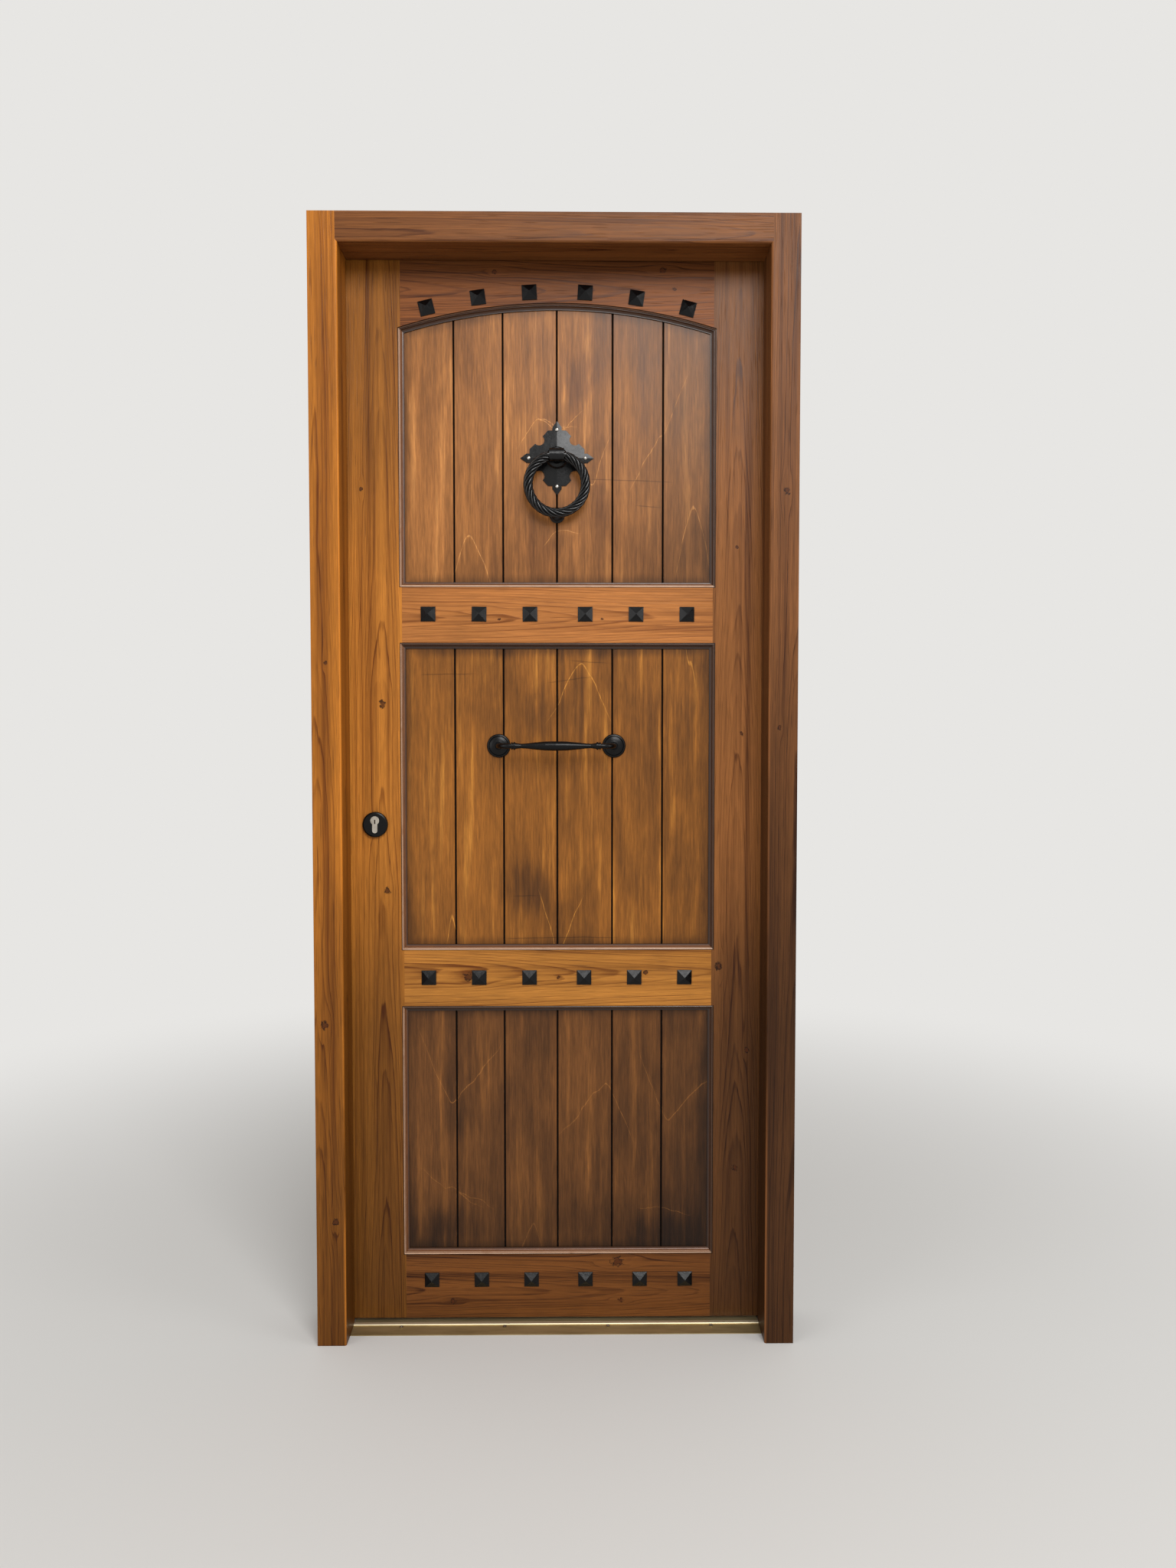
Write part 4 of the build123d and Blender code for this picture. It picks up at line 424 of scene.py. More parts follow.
class Maker(Sums):
    """A node tree that makes a repeated or ruled part at marked places. Its sizes are named inputs."""

    def __init__(self, name, sizes):
        self.tree = bpy.data.node_groups.new(name, "GeometryNodeTree")
        face = self.tree.interface
        face.new_socket("Places", in_out="INPUT", socket_type="NodeSocketGeometry")
        face.new_socket("Made", in_out="OUTPUT", socket_type="NodeSocketGeometry")
        self.sizes = {}
        for label, value in sizes.items():
            kind = "NodeSocketInt" if isinstance(value, int) else "NodeSocketFloat"
            self.sizes[face.new_socket(label, in_out="INPUT", socket_type=kind).identifier] = value
        self.given = self.tree.nodes.new("NodeGroupInput").outputs

    def put(self, kind, inputs=(), **settings):
        return put(self.tree, kind, inputs, **settings)

    def up(self, height):
        return self.put("ShaderNodeCombineXYZ", (0.0, 0.0, height))

    def down(self, depth):
        return self.up(self.times(depth, -1.0))

    def scaled(self, vector, factor):
        return self.put("ShaderNodeVectorMath", {0: vector, "Scale": factor}, operation="SCALE")

    def joined(self, *parts):
        join = self.tree.nodes.new("GeometryNodeJoinGeometry")
        for part in parts:
            self.tree.links.new(part, join.inputs[0])
        return join.outputs[0]

    def moved(self, geometry, shift=(0, 0, 0), turn=(0, 0, 0)):
        return self.put("GeometryNodeTransform", {"Geometry": geometry, "Translation": shift, "Rotation": turn})

    def kept(self, geometry, kind, value):
        """Keeps a value on each point, and returns the geometry and the kept value."""
        keeper = self.tree.nodes.new("GeometryNodeCaptureAttribute")
        keeper.capture_items.new(kind, "kept")
        feed(self.tree, keeper.inputs[0], geometry)
        feed(self.tree, keeper.inputs[1], value)
        return keeper.outputs[0], keeper.outputs[1]

    def make(self, name, part, material, places, spin=0.0, dents=0.0, dent_size=0.004):
        """Sets the part at each place, which is a point and a turn, and returns one plain mesh object."""
        turn = self.put("GeometryNodeInputNamedAttribute", {"Name": "turn"}, data_type="FLOAT_VECTOR")
        turn = self.put("FunctionNodeEulerToRotation", (turn,))
        lot = self.put("FunctionNodeRandomValue", {2: -spin, 3: spin, 8: SPIN_SEED}, data_type="FLOAT")
        own = self.put("FunctionNodeEulerToRotation", (self.up(lot.node.outputs[1]),))
        turn = self.put("FunctionNodeRotateRotation", (turn, own), rotation_space="LOCAL")
        made = self.put(
            "GeometryNodeInstanceOnPoints", {"Points": self.given["Places"], "Instance": part, "Rotation": turn}
        )
        made = self.put("GeometryNodeRealizeInstances", {"Geometry": made})
        if dents:
            place = self.put("GeometryNodeInputPosition")
            rough = self.put("ShaderNodeTexNoise", {"Vector": place, "Scale": 1 / dent_size, "Detail": 1.0})
            depth = self.times(self.less(rough, 0.5), dents)
            outward = self.scaled(self.put("GeometryNodeInputNormal"), depth)
            made = self.put("GeometryNodeSetPosition", {"Geometry": made, "Offset": outward})
        made = self.put("GeometryNodeSetMaterial", {"Geometry": made, "Material": material})
        feed(self.tree, self.tree.nodes.new("NodeGroupOutput").inputs[0], made)
        marks = bpy.data.meshes.new(name + "_places")
        marks.from_pydata([point for point, turned in places], [], [])
        turns = marks.attributes.new("turn", "FLOAT_VECTOR", "POINT")
        turns.data.foreach_set("vector", [angle for point, turned in places for angle in turned])
        marker = bpy.data.objects.new(name + "_places", marks)
        bpy.context.scene.collection.objects.link(marker)
        making = marker.modifiers.new("making", "NODES")
        making.node_group = self.tree
        for identifier, value in self.sizes.items():
            making[identifier] = value
        bpy.context.view_layer.update()
        plain = bpy.data.meshes.new_from_object(marker.evaluated_get(bpy.context.evaluated_depsgraph_get()))
        plain.name = name
        bpy.data.objects.remove(marker)
        piece = bpy.data.objects.new(name, plain)
        bpy.context.scene.collection.objects.link(piece)
        return piece

    def crisp(self, geometry, angle=0.5):
        """Shades smoothly except across edges sharper than an angle."""
        sharp = self.calc("GREATER_THAN", self.put("GeometryNodeInputMeshEdgeAngle"), angle)
        smooth = self.put("GeometryNodeSetShadeSmooth", {"Geometry": geometry})
        return self.put(
            "GeometryNodeSetShadeSmooth", {"Geometry": smooth, "Selection": sharp, "Shade Smooth": False},
            domain="EDGE",
        )


def screws(name, material, places, length=0.030):
    """Countersunk screws with a cross recess, faces at their places and turned at random."""
    maker = Maker(
        name + "_tree",
        {
            "Head Radius": 0.0040, "Shank Radius": 0.0020, "Length": length,
            "Recess Span": 0.0044, "Recess Width": 0.0010, "Recess Depth": 0.0013,
        },
    )
    given = maker.given
    head_height = maker.less(given["Head Radius"], given["Shank Radius"])
    head = maker.put(
        "GeometryNodeMeshCone",
        {
            "Vertices": 20, "Radius Top": given["Head Radius"], "Radius Bottom": given["Shank Radius"],
            "Depth": head_height,
        },
    )
    head = maker.moved(head, maker.down(head_height))
    deep = maker.times(given["Recess Depth"], 2.0)
    slot_size = maker.put("ShaderNodeCombineXYZ", (given["Recess Span"], given["Recess Width"], deep))
    slot_cut = maker.put("GeometryNodeMeshCube", {"Size": slot_size})
    cut = maker.tree.nodes.new("GeometryNodeMeshBoolean")
    cut.operation = "DIFFERENCE"
    feed(maker.tree, cut.inputs[0], head)
    for turned in (0.0, math.pi / 2):
        maker.tree.links.new(maker.moved(slot_cut, turn=(0, 0, turned)), cut.inputs[1])
    shank_length = maker.less(given["Length"], head_height)
    shank = maker.put(
        "GeometryNodeMeshCone",
        {
            "Vertices": 10, "Side Segments": 3, "Radius Top": given["Shank Radius"], "Radius Bottom": 0.0005,
            "Depth": shank_length,
        },
    )
    shank = maker.moved(shank, maker.down(given["Length"]))
    whole = maker.crisp(maker.joined(cut.outputs[0], shank))
    return maker.make(name, whole, material, places, spin=1.5)


UPWARD = (0, 0, 0)
SILL_SCREW_X = (-0.3045, -0.1015, 0.1015, 0.3045)
SILL_SCREW_Y = -0.025
SILL_TOP = 0.0049
bright_screw = steel("bright_screw_steel", stained(214, 210, 202), stained(150, 146, 138), 0.32)
sill_screws = screws(
    "threshold_screw_row", bright_screw, [((x, SILL_SCREW_Y, SILL_TOP), UPWARD) for x in SILL_SCREW_X],
    length=0.0048,
)
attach(sill_screws, "frame")
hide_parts("threshold_screws")


# Stiles and rails of the leaf: pine 45 mm thick, mortised and tenoned. Stiles run the full height
# with upright grain; rails run between them. The top rail's foot is cut to an arch.
# The lock stile darkens towards its top as painted shade, and towards its foot partly as stain and partly as painted
# shade.
stain_pine(
    "lock_stile", "up", -0.338, stained(204, 130, 50), stained(108, 53, 8),
    stain_and_shade_by_height=((0.02, 0.26), (0.50, 0.38), (1.05, 0.92), (1.40, 0.86), (1.75, 0.58), (2.05, 0.48)),
    knots=((-0.337, 1.226, 0.0055), (-0.366, 0.985, 0.004), (-0.330, 0.862, 0.005), (-0.375, 1.64, 0.003)),
    taper=0.018, depth=0.035, seed=0.3,
)
# The hinge stile's colours are darker than the lock stile's and fall off at the top: painted shade on the right side
# and under the head.
stain_pine(
    "hinge_stile", "up", 0.352, stained(164, 104, 54), stained(84, 42, 15),
    stain_and_shade_by_height=((0.02, 0.24), (0.50, 0.30), (1.05, 0.80), (1.65, 0.70), (2.05, 0.48)),
    knots=(
        (0.319, 0.712, 0.006), (0.375, 0.545, 0.004), (0.352, 0.31, 0.005), (0.362, 1.17, 0.003),
        (0.351, 1.53, 0.0025),
    ),
    taper=0.022, depth=0.035, seed=2.6, gloss=0.30,
)
stain_pine(
    "bottom_rail", "across", 0.062, stained(162, 98, 44), stained(76, 36, 11),
    stain_and_shade_by_height=((0.0, 0.40), (0.12, 0.50)),
    knots=((0.122, 0.120, 0.008), (0.043, -0.205, 0.004), (0.043, 0.128, 0.004)),
    ring=0.0038, taper=0.035, depth=0.03, seed=3.5,
)
stain_pine(
    "lower_rail", "across", 0.700, stained(208, 138, 60), stained(112, 57, 17),
    stain_and_shade_by_height=((0.5, 0.68), (0.7, 0.72)),
    knots=((0.692, -0.172, 0.007), (0.700, 0.176, 0.0035), (0.690, 0.005, 0.003)),
    ring=0.0040, taper=0.035, depth=0.03, seed=6.2,
)
stain_pine(
    "upper_rail", "across", 1.395, stained(200, 128, 66), stained(122, 66, 26),
    stain_and_shade_by_height=((1.3, 0.80), (1.4, 0.80)),
    knots=((1.408, -0.148, 0.004), (1.391, -0.11, 0.002), (1.391, 0.09, 0.002)),
    ring=0.0044, taper=0.025, depth=0.03, seed=9.1,
)
# The top rail is coloured darker than the other rails and falls to 0.40 at the top: painted shade at the head of the
# door.
stain_pine(
    "top_rail", "across", 2.02, stained(150, 88, 42), stained(74, 35, 13),
    stain_and_shade_by_height=((1.9, 0.98), (2.1, 0.40)),
    knots=((2.052, -0.116, 0.004), (2.056, 0.205, 0.005), (2.02, 0.228, 0.003)),
    ring=0.0038, taper=0.03, depth=0.03, seed=5.5,
)


# Panels: veneered sheets 22 mm thick, let into grooves of the stiles and rails. Five V grooves in each
# make it look like boards; the veneer's figure, pale arches and Vs, runs on across them.
PANEL_FACE = 0.0115
PANEL_BACK = 0.0335
OPEN_LEFT = -0.2977
OPEN_RIGHT = 0.3047
OPEN_MIDDLE = (OPEN_LEFT + OPEN_RIGHT) / 2
ARCH_CROWN = 1.9891
ARCH_RADIUS = 1.0133
OPENINGS = {"bottom": (0.1415, 0.6292), "middle": (0.7493, 1.3400), "top": (1.4568, ARCH_CROWN)}
# Near-black laid into the V grooves and the mouldings' quirks as painted shade.
GROOVE_SHADE = stained(20, 12, 8)
GROOVE_LIP = 0.0002
GROOVE_DEPTH = 0.0014


def inset(wood, level):
    """How far a place lies inside a panel's opening, from its sides, its head and its foot."""
    low, high = OPENINGS[level]
    if level == "top":
        across = wood.less(wood.x, OPEN_MIDDLE)
        head = wood.less(ARCH_RADIUS, wood.length(across, wood.less(wood.z, ARCH_CROWN - ARCH_RADIUS)))
    else:
        head = wood.less(high, wood.z)
    return wood.less(wood.x, OPEN_LEFT), wood.less(OPEN_RIGHT, wood.x), head, wood.less(wood.z, low)


def lay_veneer(level, light, dark, gold, figures, scratches, patches_of_stain_and_painted_light, stain_and_shade_by_height, right_edge_shade, sheen, seed):
    """Dresses a panel in stained veneer: mottled stain, short fibres, thin pale lines of the figure, a few
    scratches, and painted shade in the grooves and round the edge. A figure is its tip's X and Z, the
    slopes of its left and right legs (positive where they rise), how blunt the tip is, and its reach. A
    scratch is the X and Z of its two ends. A patch darkens the veneer, partly as stain and partly as painted
    shade, or lightens it as painted light where its strength is negative: its X and Z, its two radii and its
    strength. The pairs of a height and a strength darken the veneer there, partly as stain and partly as
    painted shade; the strength at the right edge is painted shade, and sheen is the varnish's roughness."""
    wood = Finish(level + "_panel_veneer", specular=0.22)

    def fibres(cross, length, detail=2.0, roughness=0.5, shift=0.0, distortion=0.0):
        vector = wood.at(
            wood.times(wood.add(wood.x, seed + shift), cross),
            wood.times(wood.y, cross * 0.2),
            wood.times(wood.add(wood.z, seed), length),
        )
        return wood.clouds(vector, 1.0, detail, roughness, distortion)

    fine = fibres(640, 42.0, 2.0, 0.6)
    thread = fibres(210, 7.0, 3.0, 0.6, 7.3)
    streak = fibres(58.0, 2.6, 3.0, 0.6, 1.3)
    blotch = fibres(13.0, 4.2, 4.0, 0.55, 4.7, 0.5)
    patch = fibres(5.5, 2.6, 3.0, 0.5, 9.7, 0.8)
    wander = wood.add(
        wood.sway(fibres(11, 7, 1.0, 0.5, 3.3), 0.060), wood.sway(fibres(44, 20, 2.0, 0.5, 8.1), 0.016)
    )
    line = 0.0
    inside = 0.0
    for tip_x, tip_z, left_slope, right_slope, blunt, reach in figures:
        side = wood.less(wood.x, tip_x)
        slope = wood.blend_from(side, -0.012, 0.012, left_slope, right_slope)
        away = wood.less(wood.length(side, blunt), blunt)
        off = wood.less(wood.add(wood.less(wood.z, tip_z), wander), wood.times(slope, away))
        steep = math.hypot(1.0, (abs(left_slope) + abs(right_slope)) / 2)
        width = wood.spread(thread, 0.0009, 0.0024)
        stroke = wood.blend_from(wood.calc("ABSOLUTE", off), wood.times(width, steep), wood.times(width, steep * 0.3))
        fading = wood.blend_from(wood.length(side, wood.less(wood.z, tip_z)), reach, reach * 0.5)
        line = wood.higher(wood.times(stroke, fading), line)
        signed = wood.times(off, 1.0 if left_slope > 0 else -1.0)
        within = wood.times(wood.blend_from(signed, 0.0, 0.016), fading)
        inside = wood.higher(wood.times(within, wood.blend_from(signed, 0.12, 0.05)), inside)
    mark = 0.0
    for start_x, start_z, end_x, end_z in scratches:
        run_x, run_z = end_x - start_x, end_z - start_z
        span = math.hypot(run_x, run_z)
        from_x, from_z = wood.less(wood.x, start_x), wood.less(wood.z, start_z)
        along = wood.add(wood.times(from_x, run_x / span), wood.times(from_z, run_z / span))
        off = wood.less(wood.times(from_z, run_x / span), wood.times(from_x, run_z / span))
        off = wood.calc("ABSOLUTE", wood.add(off, wood.sway(blotch, 0.006)))
        ends = wood.times(wood.blend_from(along, 0.0, 0.02), wood.blend_from(along, span, span - 0.03))
        mark = wood.higher(wood.times(wood.blend_from(off, 0.0016, 0.0003), ends), mark)

    stain = wood.add(wood.add(wood.times(blotch, 0.40), wood.times(patch, 0.38)), wood.times(streak, 0.22))
    # Each patch darkens the veneer, or lightens it where its strength is negative: stain, painted shade and painted
    # light.
    for middle_x, middle_z, radius_x, radius_z, strength in patches_of_stain_and_painted_light:
        off = wood.length(
            wood.over(wood.less(wood.x, middle_x), radius_x), wood.over(wood.less(wood.z, middle_z), radius_z)
        )
        off = wood.add(off, wood.sway(streak, 2.2))
        stain = wood.less(stain, wood.blend_from(off, 1.5, 0.1, 0.0, strength))
    colour = wood.mix(wood.blend_from(stain, 0.26, 0.62), dark, light)
    flash = wood.times(wood.blend_from(streak, 0.52, 0.72), wood.blend_from(stain, 0.42, 0.58))
    colour = wood.mix(wood.times(flash, 0.75), colour, gold)
    glow = wood.tinted(gold, (1.25, 1.3, 1.35, 1))
    colour = wood.mix(wood.times(line, wood.blend_from(fine, 0.30, 0.62, 0.30, 0.82)), colour, glow)
    short = fibres(330, 26.0, 2.0, 0.6, 5.9)
    tone = wood.times(wood.spread(fine, 1.0, 0.62), wood.spread(thread, 1.0, 0.72))
    tone = wood.times(tone, wood.times(wood.spread(streak, 1.0, 0.40), wood.spread(short, 1.0, 0.95)))
    tone = wood.times(tone, wood.less(1.0, wood.times(inside, 0.14)))
    tone = wood.times(tone, wood.less(1.0, wood.times(mark, 0.38)))
    # Darker by height, partly as stain and partly as painted shade, and towards the right edge as painted shade.
    tone = wood.times(tone, wood.times(wood.by_height(stain_and_shade_by_height), wood.blend_from(wood.x, 0.02, 0.29, 1.0, right_edge_shade)))
    # Near the edge of the opening the veneer is darkened to 0.58 as painted shade under the mouldings.
    left, right, head, foot = inset(wood, level)
    edge = wood.lower(wood.lower(left, right), wood.lower(head, foot))
    edge = wood.add(edge, wood.sway(blotch, 0.022))
    tone = wood.times(tone, wood.blend_from(edge, 0.004, 0.026, 0.58, 1.0))
    colour = wood.tinted(colour, tone)
    # The V grooves are filled with near-black as painted shade; a few pale chips break it.
    sunk = wood.lower(
        wood.blend_from(wood.y, PANEL_FACE + GROOVE_LIP, PANEL_FACE + GROOVE_DEPTH),
        wood.blend_from(wood.y, PANEL_BACK - GROOVE_LIP, PANEL_BACK - GROOVE_DEPTH),
    )
    colour = wood.mix(sunk, colour, GROOVE_SHADE)
    chipped = wood.times(sunk, wood.blend_from(sunk, 1.0, 0.4))
    chipped = wood.times(chipped, wood.blend_from(fibres(300, 90, 1.0), 0.62, 0.70))
    colour = wood.mix(chipped, colour, stained(150, 120, 90))
    roughness = wood.add(wood.spread(blotch, sheen, 0.16), wood.add(wood.times(sunk, 0.3), wood.times(fine, 0.06)))
    height = wood.add(fine, wood.times(line, 0.5))
    dress(wood.close(colour, roughness, height, 0.0003, 0.45), level + "_panel")


lay_veneer(
    "bottom", stained(122, 76, 36), stained(58, 34, 16), stained(148, 94, 44),
    figures=(
        (-0.2069, 0.4308, 2.57, 1.30, 0.004, 0.20), (0.2235, 0.4095, 2.34, 0.97, 0.006, 0.18),
        (0.0967, 0.4646, -1.06, -2.2, 0.006, 0.15), (-0.215, 0.262, 0.9, -0.55, 0.012, 0.09),
        (-0.160, 0.250, 0.25, -0.9, 0.012, 0.05), (0.215, 0.222, 0.05, -0.35, 0.010, 0.06),
        (-0.046, 0.196, -2.2, -3.0, 0.004, 0.09),
    ),
    scratches=(),
    patches_of_stain_and_painted_light=(
        (0.22, 0.17, 0.07, 0.04, 0.16), (-0.20, 0.19, 0.07, 0.04, 0.13), (0.07, 0.33, 0.03, 0.08, 0.08),
        (-0.21, 0.40, 0.03, 0.05, 0.08),
    ),
    stain_and_shade_by_height=((0.14, 0.44), (0.30, 0.72), (0.60, 0.82)), right_edge_shade=0.86, sheen=0.38, seed=1.9,
)
lay_veneer(
    "middle", stained(160, 99, 36), stained(90, 54, 22), stained(204, 136, 56),
    figures=(
        (0.050, 1.3044, -2.1, -2.4, 0.014, 0.15), (0.0024, 0.7528, 3.6, 2.1, 0.008, 0.13),
        (-0.205, 0.800, -6.0, -5.0, 0.003, 0.05), (0.262, 1.312, 4.6, -5.0, 0.003, 0.06),
    ),
    scratches=(
        (0.022, 1.312, 0.112, 1.305), (-0.022, 1.268, 0.080, 1.281), (-0.092, 0.849, -0.026, 0.850),
        (-0.105, 0.766, 0.129, 0.768), (-0.270, 1.283, -0.150, 1.286),
    ),
    # The long thin patch under the head of the opening is painted shade, and the pale one at the left is painted
    # light.
    patches_of_stain_and_painted_light=(
        (-0.035, 1.20, 0.030, 0.07, 0.10), (0.035, 1.20, 0.030, 0.09, 0.13), (-0.055, 0.865, 0.045, 0.045, 0.12),
        (0.215, 1.23, 0.050, 0.09, 0.10), (0.015, 0.961, 0.016, 0.06, 0.08), (0.155, 0.87, 0.03, 0.06, 0.07),
        (0.0, 1.33, 0.26, 0.016, 0.10), (-0.21, 1.06, 0.09, 0.24, -0.10),
    ),
    stain_and_shade_by_height=((0.75, 0.74), (0.86, 0.83), (1.24, 0.82), (1.33, 0.74)), right_edge_shade=0.98, sheen=0.36, seed=5.3,
)
lay_veneer(
    "top", stained(164, 106, 54), stained(102, 62, 33), stained(194, 132, 72),
    figures=(
        (-0.1694, 1.5598, -4.3, -3.1, 0.009, 0.13), (0.2675, 1.6065, -4.8, -4.8, 0.008, 0.16),
        (-0.030, 1.774, -1.25, -0.30, 0.014, 0.08), (0.0128, 1.760, 0.4, 0.85, 0.010, 0.06),
        (0.0705, 1.652, 1.5, 3.1, 0.004, 0.12), (0.004, 1.566, -1.3, -0.2, 0.006, 0.05),
        (0.205, 1.756, -2.2, 2.55, 0.004, 0.15),
    ),
    scratches=((0.060, 1.662, 0.235, 1.657), (0.150, 1.612, 0.215, 1.607)),
    patches_of_stain_and_painted_light=((0.05, 1.87, 0.04, 0.07, 0.06), (0.235, 1.56, 0.03, 0.09, 0.07), (-0.25, 1.80, 0.03, 0.10, 0.05)),
    stain_and_shade_by_height=((1.46, 0.84), (1.58, 0.95), (1.80, 0.92), (1.98, 0.80)), right_edge_shade=0.60, sheen=0.30, seed=8.8,
)


# Planted mouldings: a small bead and quirk of stained pine, mitred round each opening and pinned, inside
# and outside. The crest and lip get a painted highlight along the foot and the left, the head and right
# side are painted darker as shade, and the hollow and the quirks are painted dark as shade.
def moulding(level):
    bead = Finish(level + "_moulding_pine", specular=0.45)
    grain = bead.clouds(bead.at(bead.times(bead.x, 90), bead.times(bead.y, 300), bead.times(bead.z, 90)), 1.0, 3.0)
    patch = bead.clouds(bead.place, 26, 3.0, 0.6)
    left, right, head, foot = inset(bead, level)
    near = bead.lower(bead.lower(left, right), bead.lower(head, foot))
    crest = bead.blend_from(bead.calc("ABSOLUTE", bead.add(near, 0.0027)), 0.0013, 0.0006)
    lip = bead.blend_from(bead.calc("ABSOLUTE", bead.add(near, 0.0006)), 0.0008, 0.0003)
    quirk = bead.blend_from(near, -0.0038, -0.0043)
    hollow = bead.blend_from(near, 0.0008, 0.0052)
    # The foot and the left face the light: there the crest and lip get a painted highlight, strongest along the foot.
    lit_side = bead.blend_from(bead.less(bead.lower(left, foot), bead.lower(right, head)), 0.002, -0.002)
    at_foot = bead.blend_from(bead.less(foot, left), 0.002, -0.002, 0.62, 1.0)
    colour = bead.mix(patch, stained(132, 80, 38), stained(84, 46, 20))
    painted_highlight = bead.times(bead.times(lit_side, at_foot), bead.blend_from(patch, 0.28, 0.50, 0.55, 1.0))
    colour = bead.mix(bead.times(crest, bead.higher(painted_highlight, 0.14)), colour, stained(212, 176, 148))
    colour = bead.mix(bead.times(lip, bead.times(painted_highlight, 0.75)), colour, stained(204, 166, 138))
    # The head and the right side take a darker copy of the colours as painted shade.
    shaded = bead.mix(0.72, colour, stained(26, 15, 9))
    colour = bead.mix(lit_side, shaded, colour)
    # The hollow and the quirk are darkened as painted shade.
    colour = bead.mix(bead.times(hollow, 0.80), colour, stained(30, 17, 10))
    colour = bead.mix(quirk, colour, GROOVE_SHADE)
    return bead.close(colour, bead.spread(patch, 0.34, 0.2), grain, 0.0003, 0.5)


for level in OPENINGS:
    dress(moulding(level), level + "_panel_moulding", level + "_panel_inner_moulding")


# Black ironwork: mild steel forged and pressed, then stove-enamelled satin black. Studs, pull handle and
# ring knocker share it; the handle and the covers are turned and smoother than the rest.
def black_iron(name, dents, gloss, specular, scale=70, uneven=0.22):
    """Satin black enamel over iron, rubbed a little on high spots."""
    metal = Finish(name, specular=specular)
    hammer = metal.clouds(metal.place, scale * 2.2, 2.0, 0.5)
    grain = metal.clouds(metal.place, scale * 20, 2.0)
    rub = metal.clouds(metal.place, scale * 0.9, 4.0, 0.65)
    worn = metal.blend_from(rub, 0.60, 0.76)
    colour = metal.mix(worn, stained(4, 4, 5), stained(22, 21, 21))
    height = metal.add(hammer, metal.times(grain, 0.12))
    return metal.close(colour, metal.spread(rub, gloss, uneven), height, 0.0009, dents)


forged_iron = black_iron("black_forged_iron", dents=0.25, gloss=0.27, specular=0.30)
stud_iron = black_iron("black_stud_iron", dents=0.30, gloss=0.30, specular=0.24)
turned_iron = black_iron("black_turned_iron", dents=0.08, gloss=0.26, specular=0.20, scale=50)
ring_iron = black_iron("black_ring_iron", dents=0.02, gloss=0.14, specular=0.42, scale=90, uneven=0.05)
dress(
    turned_iron, "pull_rose_left", "pull_rose_right", "pull_handle", "pull_bolts", "outer_escutcheon",
    "inner_escutcheon", "inner_rose", "inner_lever",
)
dress(forged_iron, "knocker_plate", "knocker_anvil")


# Studs: forged square pyramids on a thin rim, each with a square shank driven into its rail. Four rows of
# six, in two groups of three; the top row follows the arch and leans with it.
STUD_OFFSETS = (-0.2507, -0.1521, -0.0535, 0.0535, 0.1521, 0.2507)
STUD_ROWS = ((0.08655, 0.0004), (0.69055, -0.0024), (1.4002, 0.0))
STUD_ARCH = ARCH_RADIUS + 0.0255
STRAY_STUD = (0, 4)
STRAY = 0.009
OUTWARD = (math.pi / 2, 0, 0)
stud_places = []
for row, (height, shift) in enumerate(STUD_ROWS):
    for index, offset in enumerate(STUD_OFFSETS):
        strayed = STRAY if (row, index) == STRAY_STUD else 0.0
        stud_places.append(((OPEN_MIDDLE + shift + offset + strayed, 0, height), OUTWARD))
for offset in STUD_OFFSETS:
    lean = math.asin(offset / STUD_ARCH)
    height = ARCH_CROWN - ARCH_RADIUS + STUD_ARCH * math.cos(lean)
    stud_places.append(((OPEN_MIDDLE + offset, 0, height), (math.pi / 2, lean, 0)))

stud_maker = Maker(
    "stud_tree",
    {"Width": 0.0285, "Rim": 0.0015, "Peak": 0.0095, "Tip": 0.0008, "Shank": 0.0045, "Length": 0.026},
)
stud_given = stud_maker.given
diagonal = math.sqrt(0.5)
stud_rise = stud_maker.less(stud_given["Peak"], stud_given["Rim"])
pyramid = stud_maker.put(
    "GeometryNodeMeshCone",
    {
        "Vertices": 4, "Radius Top": stud_maker.times(stud_given["Tip"], diagonal),
        "Radius Bottom": stud_maker.times(stud_given["Width"], diagonal), "Depth": stud_rise,
    },
)


def drawn(mesh, face, length):
    """Draws a stud's foot out by a length."""
    inputs = {"Mesh": mesh, "Selection": face, "Offset Scale": length, "Individual": False}
    return stud_maker.put("GeometryNodeExtrudeMesh", inputs, mode="FACES")


rim = drawn(pyramid, pyramid.node.outputs["Bottom"], stud_given["Rim"])
shoulder = drawn(rim, rim.node.outputs["Top"], 0.0)
shoulder_face = shoulder.node.outputs["Top"]
shank_share = stud_maker.over(stud_given["Shank"], stud_given["Width"])
narrowed = stud_maker.put(
    "GeometryNodeScaleElements", {"Geometry": shoulder, "Selection": shoulder_face, "Scale": shank_share},
    domain="FACE",
)
shank = drawn(narrowed, shoulder_face, stud_given["Length"])
stud = stud_maker.put("GeometryNodeSubdivideMesh", {"Mesh": shank, "Level": 2})
stud = stud_maker.moved(stud, stud_maker.up(stud_given["Rim"]), (0, 0, math.pi / 4))
stud = stud_maker.crisp(stud, 0.35)
studs = stud_maker.make("rail_studs", stud, stud_iron, stud_places, spin=0.02, dents=0.0005, dent_size=0.005)
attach(studs, "leaf")
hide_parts("bottom_rail_studs", "lower_rail_studs", "upper_rail_studs", "top_rail_studs")


